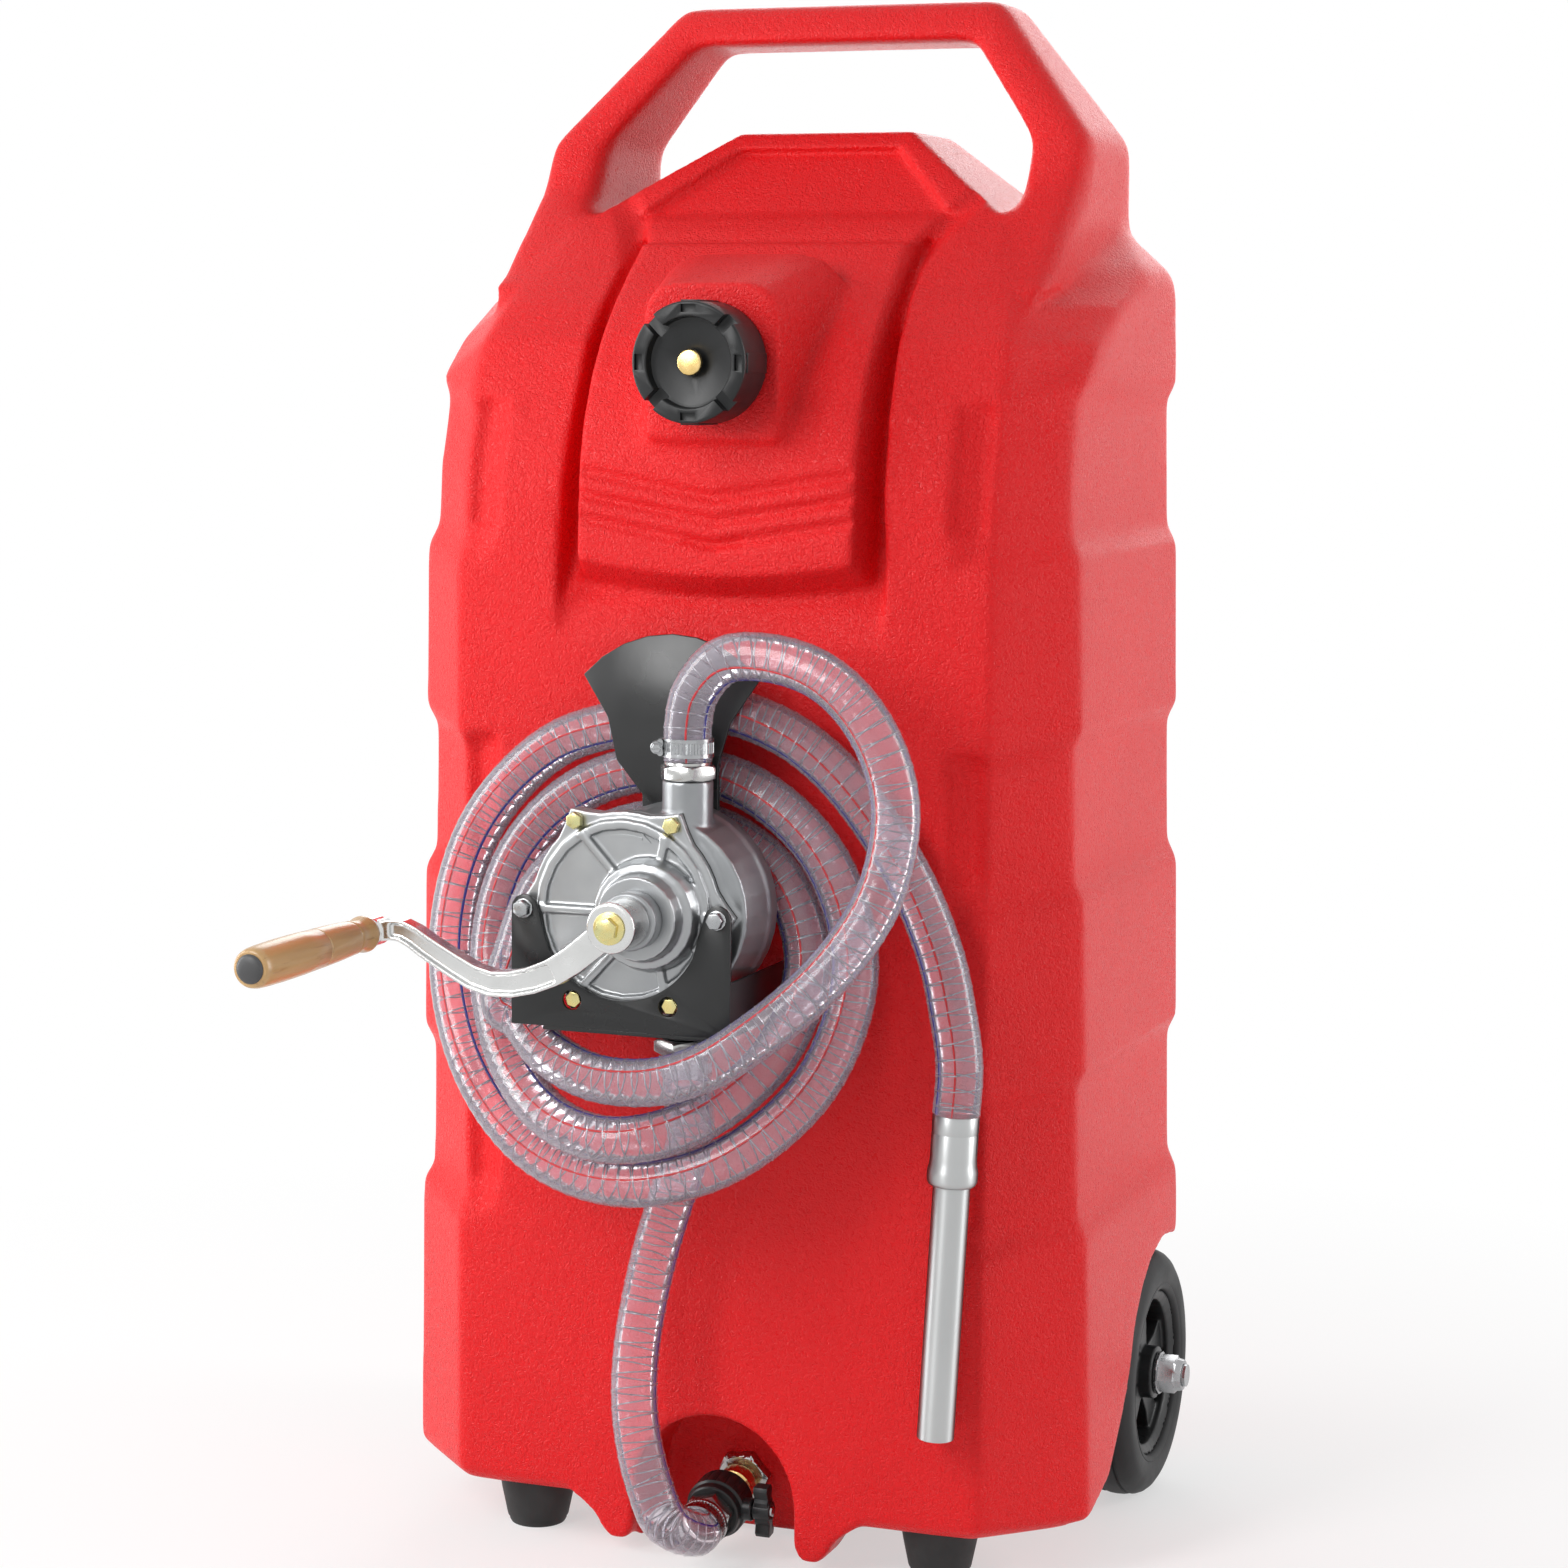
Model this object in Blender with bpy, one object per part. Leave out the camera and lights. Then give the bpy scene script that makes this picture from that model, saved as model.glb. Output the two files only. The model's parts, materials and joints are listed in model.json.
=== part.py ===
# Wheeled fuel caddy: a blow-moulded tank with a rotary vane hand pump, a coiled discharge hose,
# a suction hose from a bottom ball valve, two wheels on an axle and two front feet.
# Units are metres. +X is to the right seen from the front, -Y is the front and +Z is up.
# The ground is z = 0. The names ending in _y are measured from the middle of the tank's depth.

import math

import bmesh
import bpy
from mathutils import Matrix, Vector

# Tank body
tank_front = 0.163
tank_rear = 0.161
tank_base = 0.037
leg_half_width = 0.200
leg_setback = 0.003
shoulder_half_width = leg_half_width + leg_setback
shoulder_setback = 0.0455
base_half_width = shoulder_half_width + shoulder_setback
side_taper = 0.0215
corner_width = 0.0595
front_half_width = base_half_width - corner_width
rear_corner = 0.030
base_rounding = 0.006
tank_wall = 0.006
lean_start = 0.715
lean_radius = 0.185
lean_end = 0.853
lean_slope = 1.15
shoulder_side = 0.875
shoulder_top = 0.905
shoulder_rear = 0.130

# Recessed bands round the sides of the tank
band_count = 3
band_pitch = 0.226
band_bottom = 0.236
band_height = 0.112
band_slope = 0.012
band_depth = 0.007
band_drop = 0.012
pocket_width = 0.029
pocket_slope = 0.015
pocket_edge = front_half_width - pocket_width
pocket_floor = pocket_edge + pocket_slope

# Handle loop and crest between its legs
leg_inner = 0.157
leg_top = 0.965
handle_top = 1.064
handle_top_half = 0.119
handle_rear = 0.125
handle_rounding = 0.010
opening_top = 1.035
opening_top_half = 0.103
handle_lean = 0.53
handle_lean_start = 0.935
crest_top = 0.973
crest_half_width = 0.065
crest_foot = 0.914
crest_foot_half = 0.147
crest_panel_depth = 0.005

# Centre panel, its side grooves and ridges
groove_half_width = 0.120
groove_top_half = 0.110
groove_start = 0.628
groove_full = 0.700
groove_depth = 0.026
groove_top = 0.897
panel_half_width = 0.097
panel_proud = 0.010
panel_draft = 0.010
panel_top = 0.893
panel_arc_mid = 0.676
panel_arc_side = 0.690
ridge_pitch = 0.0155
ridge_top = 0.744
ridge_fall = 0.017
ridge_height = 0.006
ridge_depth = 0.004
ridge_count = 3

# Filler boss, neck and cap
filler_z = 0.812
boss_face = 0.178
boss_half_width = 0.047
boss_top = 0.8635
boss_bottom = 0.761
boss_corner = 0.022
boss_draft = 0.022
neck_radius = 0.0290
neck_bore = 0.0240
neck_length = 0.0231
cap_radius = 0.0400
cap_height = 0.0380
cap_gap = 0.0012
cap_wall = 0.0040
cap_rim = 0.0105
cap_recess = 0.0090
cap_slot = 0.0085
cap_clearance = 0.0008
gasket_thickness = 0.0025
cap_turns = 1.5
cap_thread_pitch = 0.005
vent_radius = 0.0085
vent_height = 0.0075
vent_stem = 0.0035
vent_travel = 0.0025

# Valve recess at the foot of the tank
arch_radius = 0.058
arch_centre = 0.045
recess_depth = 0.065
fin_inner = 0.0585
fin_tip_inner = 0.064
fin_tip_outer = 0.080
fin_outer = 0.106
fin_tip_z = 0.009
fin_length = 0.036
keel_length = 0.030
keel_bottom = 0.0055

# Wheels and axle
wheel_y = 0.107
wheel_radius = 0.089
wheel_width = 0.044
wheel_outer_x = 0.241
well_inner_x = 0.190
well_clearance = 0.013
rim_radius = 0.0590
rim_wall = 0.0070
hub_radius = 0.0190
spoke_count = 5
spoke_width = 0.017
axle_radius = 0.0080
running_gap = 0.0003
axle_nut_flats = 0.024
axle_nut_length = 0.0190
axle_washer_radius = 0.0155
axle_washer_thickness = 0.0024

# Front feet
foot_x = 0.149
foot_y = 0.119
foot_top_radius = 0.0265
foot_bottom_radius = 0.0180
foot_stud_radius = 0.005

# Pump: the cover's centre, the offset of its rotor, and its layers from front to back
pump_x = -0.025
pump_z = 0.460
rotor_offset = 0.018
port_offset = 0.034
cover_front = 0.259
flange_thickness = 0.006
gasket_layer = 0.0008
housing_back = 0.203
cover_radius = 0.0655
bolt_circle = 0.0673
lug_radius = 0.0088
housing_flange = 0.0075
housing_radius = 0.0665
chamber_radius = 0.0520
chamber_depth = 0.032
rim_rise = 0.0035
cover_rib = 0.0052
cover_rib_rise = 0.0045
boss_one_radius = 0.034
boss_one_rise = 0.013
boss_two_radius = 0.027
boss_two_rise = 0.025
gland_radius = 0.0190
gland_rise = 0.038
shaft_radius = 0.0080
shaft_bush_wall = 0.003
rotor_radius = 0.0335
vane_thickness = 0.005
vane_count = 3
vane_length = 0.018
packing_radius = 0.0130
packing_length = 0.010
port_y = 0.235
port_radius = 0.0165
port_bore = 0.0125
outlet_top = 0.545
inlet_bottom = 0.377

# Crank
crank_reach = 0.171
crank_fall = 0.014
crank_front = 0.321
crank_thickness = 0.016
crank_hub_radius = 0.0165
crank_hub_front = 0.325
crank_gland_gap = 0.0010
crank_bolt_flats = 0.013
crank_washer_radius = 0.0105
grip_radius = 0.0135
grip_length = 0.150
grip_pin_radius = 0.004
grip_end_thickness = 0.004

# Bracket plate in front of the pump and the hanger behind it
bracket_thickness = 0.003
bracket_half_width = 0.0765
bracket_bottom = 0.3835
bracket_cutout = 0.0625
bracket_corner = 0.0015
bracket_lip = 0.0065
bracket_side_height = 0.0365
bracket_lip_left = 0.022
bracket_lip_right = 0.017
sheet = 0.0025
fan_x = -0.019
fan_corner_half = 0.062
fan_corner_z = 0.607
fan_top_z = 0.6355
crease_z = 0.552
crease_half = 0.036
fan_lean = 0.008
neck_left = -0.0365
neck_right = 0.0175
neck_top = 0.530
hood_x = -0.0285
hood_half = 0.058
hood_top = 0.486
hood_shoulder = 0.4535
hood_bottom = 0.410
hanger_foot = 0.018

# Fasteners
bolt_flats = 0.010
bolt_head = 0.0055
bolt_shank = 0.003
washer_thickness = 0.0012
mount_bolt_reach = 0.030

# Hoses, fittings and clamps
hose_radius = 0.0158
barb_hex_flats = 0.033
barb_hex = 0.010
clamp_radius = 0.0168
clamp_inner = 0.0162
clamp_width = 0.012
clamp_screw = 0.0045
face_gap = 0.0003
ferrule_radius = 0.0153
ferrule_length = 0.047
spout_radius = 0.0122
spout_bore = 0.0108
spout_length = 0.170
spout_tilt = 3.0
inlet_hex_flats = 0.037

# Bottom ball valve, measured along its own axis from the recess wall
valve_z = 0.045
valve_tilt = 8.0
nut_flats = 0.034
nut_length = 0.010
nipple_radius = 0.0110
nipple_inside = 0.014
valve_start = 0.038
valve_length = 0.028
valve_radius = 0.0210
valve_bore = 0.0070
ball_radius = 0.0110
stem_radius = 0.0035
stem_reach = 0.032
handle_span = 0.036
handle_depth = 0.011
handle_thickness = 0.010
tail_hex_flats = 0.030
tail_hex = 0.010

# Shape quality
round_steps = 24
small_steps = 12
lathe_steps = 32
wheel_steps = 36

# The origin is on the ground, midway between the front of the grip and the back of the wheels
grip_back = crank_front + 0.004
front_end = grip_back + grip_length + grip_end_thickness
rear_end = wheel_y + wheel_radius
origin_shift = (front_end - rear_end) / 2

rotor_x = pump_x + rotor_offset
port_x = pump_x + port_offset
cover_back = cover_front - flange_thickness
housing_front = cover_back - gasket_layer - face_gap
crank_z = pump_z - crank_fall
grip_x = rotor_x - crank_reach
recess_wall_y = -tank_front + recess_depth
well_radius = wheel_radius + well_clearance


def clear_scene():
    for obj in list(bpy.data.objects):
        bpy.data.objects.remove(obj, do_unlink=True)


def make_material(name, colour, roughness, metallic=0.0):
    mat = bpy.data.materials.new(name)
    mat.use_nodes = True
    shader = mat.node_tree.nodes["Principled BSDF"]
    shader.inputs["Base Color"].default_value = (*colour, 1.0)
    shader.inputs["Roughness"].default_value = roughness
    shader.inputs["Metallic"].default_value = metallic
    return mat


def make_pivot(name, location, parent=None, tilt=0.0):
    """An empty that carries pieces; its location is given in the tank's own frame."""
    empty = bpy.data.objects.new(name, None)
    bpy.context.scene.collection.objects.link(empty)
    empty.parent = parent
    empty.location = location
    empty.rotation_euler = (math.radians(tilt), 0.0, 0.0)
    return empty


def solid(name, bm, mat, pivot, origin=(0.0, 0.0, 0.0), cutter=False):
    """Links a mesh whose points are in the tank's frame; origin is where its pivot stands."""
    bmesh.ops.translate(bm, vec=-Vector(origin), verts=bm.verts)
    bmesh.ops.recalc_face_normals(bm, faces=bm.faces)
    mesh = bpy.data.meshes.new(name)
    bm.to_mesh(mesh)
    bm.free()
    obj = bpy.data.objects.new(name, mesh)
    bpy.context.scene.collection.objects.link(obj)
    obj.parent = pivot
    if mat:
        mesh.materials.append(mat)
    if cutter:
        obj.hide_render = True
        obj.display_type = "WIRE"
    else:
        mesh.shade_smooth()
        mesh.set_sharp_from_angle(angle=math.radians(32))
    return obj


def boolean(obj, other, operation):
    modifier = obj.modifiers.new(operation.lower(), "BOOLEAN")
    modifier.operation = operation
    modifier.object = other
    modifier.solver = "EXACT"


def loft(rings):
    """A closed body through rings that have equal counts of points."""
    bm = bmesh.new()
    loops = [[bm.verts.new(point) for point in ring] for ring in rings]
    count = len(loops[0])
    for low, high in zip(loops, loops[1:]):
        for i in range(count):
            j = (i + 1) % count
            bm.faces.new((low[i], low[j], high[j], high[i]))
    bm.faces.new(loops[0])
    bm.faces.new(loops[-1])
    return bm


def on_axis(axis, a, b, along):
    """A point with a and b across the axis and a distance along it."""
    if axis == "X":
        return (along, a, b)
    if axis == "Y":
        return (a, along, b)
    return (a, b, along)


def prism(points, axis, low, high):
    return loft(
        [[on_axis(axis, a, b, low) for a, b in points], [on_axis(axis, a, b, high) for a, b in points]]
    )


def circle(radius, steps, centre=(0.0, 0.0), start=0.0):
    angles = [math.radians(start) + 2 * math.pi * i / steps for i in range(steps)]
    return [(centre[0] + radius * math.cos(t), centre[1] + radius * math.sin(t)) for t in angles]


def cylinder(radius, axis, low, high, centre=(0.0, 0.0), steps=round_steps):
    return prism(circle(radius, steps, centre), axis, low, high)


def hexagon(flats, axis, low, high, centre=(0.0, 0.0), start=0.0):
    return prism(circle(flats / math.sqrt(3), 6, centre, start), axis, low, high)


def lathe(profile, axis, centre=(0.0, 0.0), steps=round_steps, start=0.0):
    """Turns a closed profile of (radius, distance along) points round an axis."""
    bm = bmesh.new()
    columns = []
    for radius, along in profile:
        if radius < 1e-6:
            columns.append([bm.verts.new(on_axis(axis, centre[0], centre[1], along))] * steps)
        else:
            ring = circle(radius, steps, centre, start)
            columns.append([bm.verts.new(on_axis(axis, a, b, along)) for a, b in ring])
    for first, second in zip(columns, columns[1:] + columns[:1]):
        for i in range(steps):
            j = (i + 1) % steps
            corners = []
            for vert in (first[i], first[j], second[j], second[i]):
                if vert not in corners:
                    corners.append(vert)
            if len(corners) > 2:
                bm.faces.new(corners)
    return bm


def ring(outer, inner, axis, low, high, centre=(0.0, 0.0), steps=round_steps):
    return lathe([(outer, low), (outer, high), (inner, high), (inner, low)], axis, centre, steps)


def box(low, high):
    bm = bmesh.new()
    bmesh.ops.create_cube(bm, size=1.0)
    size = Vector(high) - Vector(low)
    middle = (Vector(high) + Vector(low)) / 2
    bmesh.ops.scale(bm, vec=size, verts=bm.verts)
    bmesh.ops.translate(bm, vec=middle, verts=bm.verts)
    return bm


def turned(bm, angle, axis, about=(0.0, 0.0, 0.0)):
    bmesh.ops.rotate(bm, cent=about, matrix=Matrix.Rotation(math.radians(angle), 3, axis), verts=bm.verts)
    return bm


def fuse(obj, bm, pivot, origin=(0.0, 0.0, 0.0)):
    boolean(obj, solid(obj.name + "_add", bm, None, pivot, origin, cutter=True), "UNION")


def cut(obj, bm, pivot, origin=(0.0, 0.0, 0.0)):
    boolean(obj, solid(obj.name + "_cut", bm, None, pivot, origin, cutter=True), "DIFFERENCE")


def smooth_path(points, steps):
    """Points of a Catmull-Rom curve through the given points."""
    route = [Vector(p) for p in points]
    route = [2 * route[0] - route[1]] + route + [2 * route[-1] - route[-2]]
    path = []
    for a, b, c, d in zip(route, route[1:], route[2:], route[3:]):
        for i in range(steps):
            t = i / steps
            path.append(
                0.5
                * (
                    2 * b + (c - a) * t + (2 * a - 5 * b + 4 * c - d) * t * t + (3 * b - a - 3 * c + d) * t * t * t
                )
            )
    path.append(route[-2])
    return path


def even_path(points, step):
    """The smooth curve through the points, cut into equal steps."""
    fine = smooth_path(points, 12)
    lengths = [0.0]
    for a, b in zip(fine, fine[1:]):
        lengths.append(lengths[-1] + (b - a).length)
    count = max(2, round(lengths[-1] / step))
    path = []
    for i in range(count + 1):
        want = lengths[-1] * i / count
        k = min(sum(1 for s in lengths if s < want), len(fine) - 1)
        if k == 0:
            path.append(fine[0])
            continue
        share = (want - lengths[k - 1]) / (lengths[k] - lengths[k - 1])
        path.append(fine[k - 1].lerp(fine[k], share))
    return path


def tube(name, points, radius, mat, pivot, resolution):
    """A round tube as a curve with filled ends."""
    curve = bpy.data.curves.new(name, "CURVE")
    curve.dimensions = "3D"
    curve.bevel_depth = radius
    curve.bevel_resolution = resolution
    curve.use_fill_caps = True
    curve.materials.append(mat)
    spline = curve.splines.new("POLY")
    spline.points.add(len(points) - 1)
    for spline_point, place in zip(spline.points, points):
        spline_point.co = (*place, 1.0)
    obj = bpy.data.objects.new(name, curve)
    bpy.context.scene.collection.objects.link(obj)
    obj.parent = pivot
    return obj


# Tank surfaces


def front_y(z):
    """The front of the tank: upright, then an arc, then a straight lean up to the crest."""
    if z <= lean_start:
        return -tank_front
    arc = min(z, lean_end) - lean_start
    lean = lean_radius - math.sqrt(lean_radius**2 - arc**2)
    return -tank_front + lean + lean_slope * max(0.0, z - lean_end)


def half_width(z):
    side = base_half_width - side_taper * (z - tank_base)
    if z <= shoulder_side:
        return side
    share = (z - shoulder_side) / (shoulder_top - shoulder_side)
    return side + share * (shoulder_half_width - side)


def tank_ring(z, inset=0.0, shrink=0.0, drop=0.0):
    """One plan section: front panel with its pocket edges, sloped corners, sides and round rear corners."""
    front = front_y(z) + shrink
    narrow = max(0.0, z - 0.80)
    corner_x = front_half_width - 3.1 * narrow**2 - shrink
    edge_x = min(pocket_edge, corner_x - 0.020)
    floor_x = min(pocket_floor, corner_x - 0.009)
    side = half_width(z) - shrink
    spread = 1.0 + 10.0 * narrow + 60.0 * narrow**2
    corner_y = front + (side - corner_x) * spread
    rear = tank_rear - shrink
    if z > shoulder_side:
        rear -= (tank_rear - shoulder_rear) * (z - shoulder_side) / (shoulder_top - shoulder_side)
    bend = inset * math.tan(math.radians(22.5))
    diagonal = rear_corner * math.sqrt(0.5)
    right = [
        (edge_x, front, z - drop),
        (floor_x, front + inset, z - drop),
        (corner_x - bend, front + inset, z - drop),
        (side - inset, corner_y + bend, z),
        (side - inset, rear - rear_corner, z),
        (side - rear_corner + diagonal - inset / 2, rear - rear_corner + diagonal - inset / 2, z),
        (side - rear_corner, rear, z),
    ]
    return right + [(-x, y, height) for x, y, height in reversed(right)]


def tank_rings():
    rings = [tank_ring(tank_base, shrink=base_rounding), tank_ring(tank_base + 1.3 * base_rounding)]
    for k in range(band_count):
        low = band_bottom + k * band_pitch
        high = low + band_height
        rings.append(tank_ring(low, drop=band_drop))
        rings.append(tank_ring(low + band_slope, inset=band_depth, drop=band_drop))
        if low < lean_start < high:
            rings.append(tank_ring(lean_start + 0.028, inset=band_depth, drop=band_drop))
        rings.append(tank_ring(high - band_slope, inset=band_depth, drop=band_drop))
        rings.append(tank_ring(high, drop=band_drop))
    above = band_bottom + (band_count - 1) * band_pitch + band_height
    for share in (0.35, 0.68, 1.0):
        rings.append(tank_ring(above + share * (shoulder_side - above)))
    rings.append(tank_ring(shoulder_top))
    return rings


def groove_floor(z):
    share = min(1.0, max(0.0, (z - groove_start) / (groove_full - groove_start)))
    return front_y(z) + groove_depth * share * share * (3 - 2 * share)


def groove_edge(z):
    share = (z - groove_start) / (groove_top - groove_start)
    return groove_half_width + share * (groove_top_half - groove_half_width)


def make_tank(frame, red):
    tank = solid("tank", loft(tank_rings()), red, frame)

    outline = [
        (leg_half_width, shoulder_side - 0.012),
        (leg_half_width, leg_top),
        (handle_top_half, handle_top),
        (-handle_top_half, handle_top),
        (-leg_half_width, leg_top),
        (-leg_half_width, shoulder_side - 0.012),
    ]
    handle = solid("handle_blank", prism(outline, "Y", -0.150, handle_rear), red, frame, cutter=True)
    opening = [
        (leg_inner, crest_foot),
        (leg_inner, leg_top),
        (opening_top_half, opening_top),
        (-opening_top_half, opening_top),
        (-leg_inner, leg_top),
        (-leg_inner, crest_foot),
        (-crest_foot_half, crest_foot),
        (-crest_half_width, crest_top),
        (crest_half_width, crest_top),
        (crest_foot_half, crest_foot),
    ]
    cut(handle, prism(opening, "Y", -0.30, 0.30), frame)
    lean_foot = front_y(handle_lean_start)
    lean_reach = 1.2 * (handle_top - handle_lean_start)
    front_cut = [
        (-0.30, shoulder_side - 0.05),
        (front_y(shoulder_side - 0.05), shoulder_side - 0.05),
        (lean_foot, handle_lean_start),
        (lean_foot + handle_lean * lean_reach, handle_lean_start + lean_reach),
        (-0.30, handle_lean_start + lean_reach),
    ]
    cut(handle, prism(front_cut, "X", -0.30, 0.30), frame)
    crest_low = handle_lean_start + 0.0005
    crest_cut = [
        (-0.30, crest_low),
        (front_y(crest_low), crest_low),
        (front_y(crest_top + 0.02), crest_top + 0.02),
        (-0.30, crest_top + 0.02),
    ]
    cut(handle, prism(crest_cut, "X", -crest_foot_half + 0.010, crest_foot_half - 0.010), frame)
    edges = handle.modifiers.new("edges", "BEVEL")
    edges.width = handle_rounding
    edges.segments = 2
    edges.limit_method = "ANGLE"
    edges.angle_limit = math.radians(35)
    boolean(tank, handle, "UNION")

    rise = groove_full - groove_start
    arc = lean_end - lean_start
    heights = [groove_start, groove_start + 0.3 * rise, groove_start + 0.65 * rise, groove_full]
    heights += [lean_start + share * arc for share in (0.0, 0.22, 0.43, 0.65, 0.83, 1.0)] + [groove_top]
    recess = []
    for z in heights:
        outer = groove_edge(z)
        floor = groove_floor(z)
        front = front_y(z) - 0.04
        recess.append(
            [(-outer, front, z), (outer, front, z), (outer - 0.004, floor, z), (-outer + 0.004, floor, z)]
        )
    cut(tank, loft(recess), frame)

    panel = []
    for z in [0.640] + heights[2:-1] + [panel_top]:
        wide = panel_half_width + panel_draft
        front = front_y(z) - panel_proud
        back = groove_floor(z) + 0.012
        panel.append(
            [(-panel_half_width, front, z), (panel_half_width, front, z), (wide, back, z), (-wide, back, z)]
        )
    pad = solid("panel_blank", loft(panel), red, frame, cutter=True)
    arc_points = []
    span = panel_half_width + 2 * panel_draft
    for i in range(9):
        x = -span + 2 * span * i / 8
        arc_points.append((x, panel_arc_mid + (panel_arc_side - panel_arc_mid) * (x / span) ** 2))
    base_points = [(span, groove_start - 0.02), (-span, groove_start - 0.02)]
    arc = arc_points + base_points
    front_loop = [(x, -tank_front - 0.030, z + 0.012) for x, z in arc]
    back_loop = [(x, -tank_front + 0.045, z - 0.045) for x, z in arc]
    cut(pad, loft([front_loop, back_loop]), frame)
    for k in range(ridge_count):
        top = ridge_top - k * ridge_pitch
        half = panel_half_width + 0.004
        ridge = [(-half, top), (0.0, top - ridge_fall), (half, top)]
        ridge += [(x, z - ridge_height) for x, z in reversed(ridge)]
        front_loop = [(x, -tank_front - panel_proud - 0.02, z) for x, z in ridge]
        back_loop = [(x, front_y(z) - panel_proud + ridge_depth, z) for x, z in ridge]
        cut(pad, loft([front_loop, back_loop]), frame)
    boolean(tank, pad, "UNION")

    fuse(tank, boss_shape(), frame)
    fuse(tank, cylinder(neck_radius, "Y", -boss_face - neck_length, -boss_face + 0.01, (0, filler_z)), frame)

    half = crest_half_width - 0.006
    foot_half = crest_foot_half - 0.028
    panel_outline = [
        (half, crest_top - 0.011),
        (foot_half, crest_foot - 0.004),
        (-foot_half, crest_foot - 0.004),
        (-half, crest_top - 0.011),
    ]
    near = [(x, -0.30, z) for x, z in panel_outline]
    far = [(x, front_y(z) + crest_panel_depth, z) for x, z in panel_outline]
    cut(tank, loft([near, far]), frame)

    for side in (-1, 1):
        fuse(tank, fin_shape(side), frame)
    arch = circle(arch_radius, 32, (0, arch_centre))[:17]
    arch += [(-arch_radius, -0.05), (arch_radius, -0.05)]
    tilt = math.tan(math.radians(valve_tilt))
    low = (-fin_inner - 0.004, -tank_front + 0.02, keel_bottom)
    high = (fin_inner + 0.004, recess_wall_y + keel_length, tank_base + 0.006)
    fuse(tank, box(low, high), frame)
    near = [(x, -0.30, z) for x, z in arch]
    far = [(x, recess_wall_y - (z - valve_z) * tilt, z) for x, z in arch]
    cut(tank, loft([near, far]), frame)

    for side in (-1, 1):
        ends = sorted((side * well_inner_x, side * 0.30))
        cut(tank, prism(well_outline(), "X", *ends), frame)
    bore = cylinder(axle_radius + running_gap, "X", -0.25, 0.25, (wheel_y, wheel_radius), 20)
    cut(tank, bore, frame)

    cut(tank, loft(cavity_rings()), frame)
    cut(tank, cylinder(neck_bore, "Y", -0.24, -0.06, (0, filler_z)), frame)
    drain = cylinder(
        nipple_radius + face_gap, "Y", recess_wall_y - 0.03, recess_wall_y + 0.03, (0, valve_z), 20
    )
    cut(tank, turned(drain, valve_tilt, "X", (0, recess_wall_y, valve_z)), frame)
    for side in (-1, 1):
        hole = (side * foot_x, -foot_y)
        cut(tank, cylinder(foot_stud_radius + face_gap, "Z", 0.02, tank_base + 0.004, hole, 20), frame)
    for x, z in hanger_screw_places():
        hole = cylinder(bolt_shank + face_gap, "Y", -tank_front - 0.01, -tank_front + 0.0048, (x, z), 12)
        cut(tank, hole, frame)
    return tank


def boss_shape():
    """The filler boss: a flat upright face with round upper corners, widening to its root."""

    def outline(grow, y):
        half = boss_half_width + grow
        top = boss_top + grow
        low = boss_bottom - 0.4 * grow
        radius = boss_corner + grow / 2
        points = []
        for i in range(4):
            t = math.radians(30 * i)
            points.append((half - radius + radius * math.cos(t), y, top - radius + radius * math.sin(t)))
        for i in range(4):
            t = math.radians(90 + 30 * i)
            points.append((-half + radius + radius * math.cos(t), y, top - radius + radius * math.sin(t)))
        return points + [(-half, y, low), (half, y, low)]

    return loft([outline(0.0, -boss_face), outline(boss_draft, -boss_face + 0.078)])


def fin_shape(side):
    """The moulded tip beside the valve recess."""
    points = [
        (fin_inner - 0.004, 0.070),
        (fin_inner - 0.004, 0.030),
        (fin_tip_inner - 0.003, fin_tip_z + 0.004),
        (fin_tip_inner + 0.002, fin_tip_z),
        (fin_tip_outer - 0.005, fin_tip_z),
        (fin_tip_outer, fin_tip_z + 0.004),
        (fin_tip_outer + 0.009, 0.027),
        (fin_outer, tank_base + 0.002),
        (fin_outer, 0.070),
    ]
    points = [(side * x, z) for x, z in points]
    return prism(points, "Y", -tank_front + 0.0005, -tank_front + fin_length)


def well_outline():
    """The wheel well: an arc round the wheel with a sloping underside in front of it."""
    points = [(-foot_y, 0.020), (-foot_y + 0.010, tank_base + 0.001), (-0.048, 0.056), (-0.020, 0.084)]
    for i in range(7):
        t = math.radians(165 - 17 * i)
        points.append((wheel_y + well_radius * math.cos(t), wheel_radius + well_radius * math.sin(t)))
    return points + [(0.30, wheel_radius + well_radius + 0.016), (0.30, -0.05), (-foot_y, -0.05)]


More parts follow.
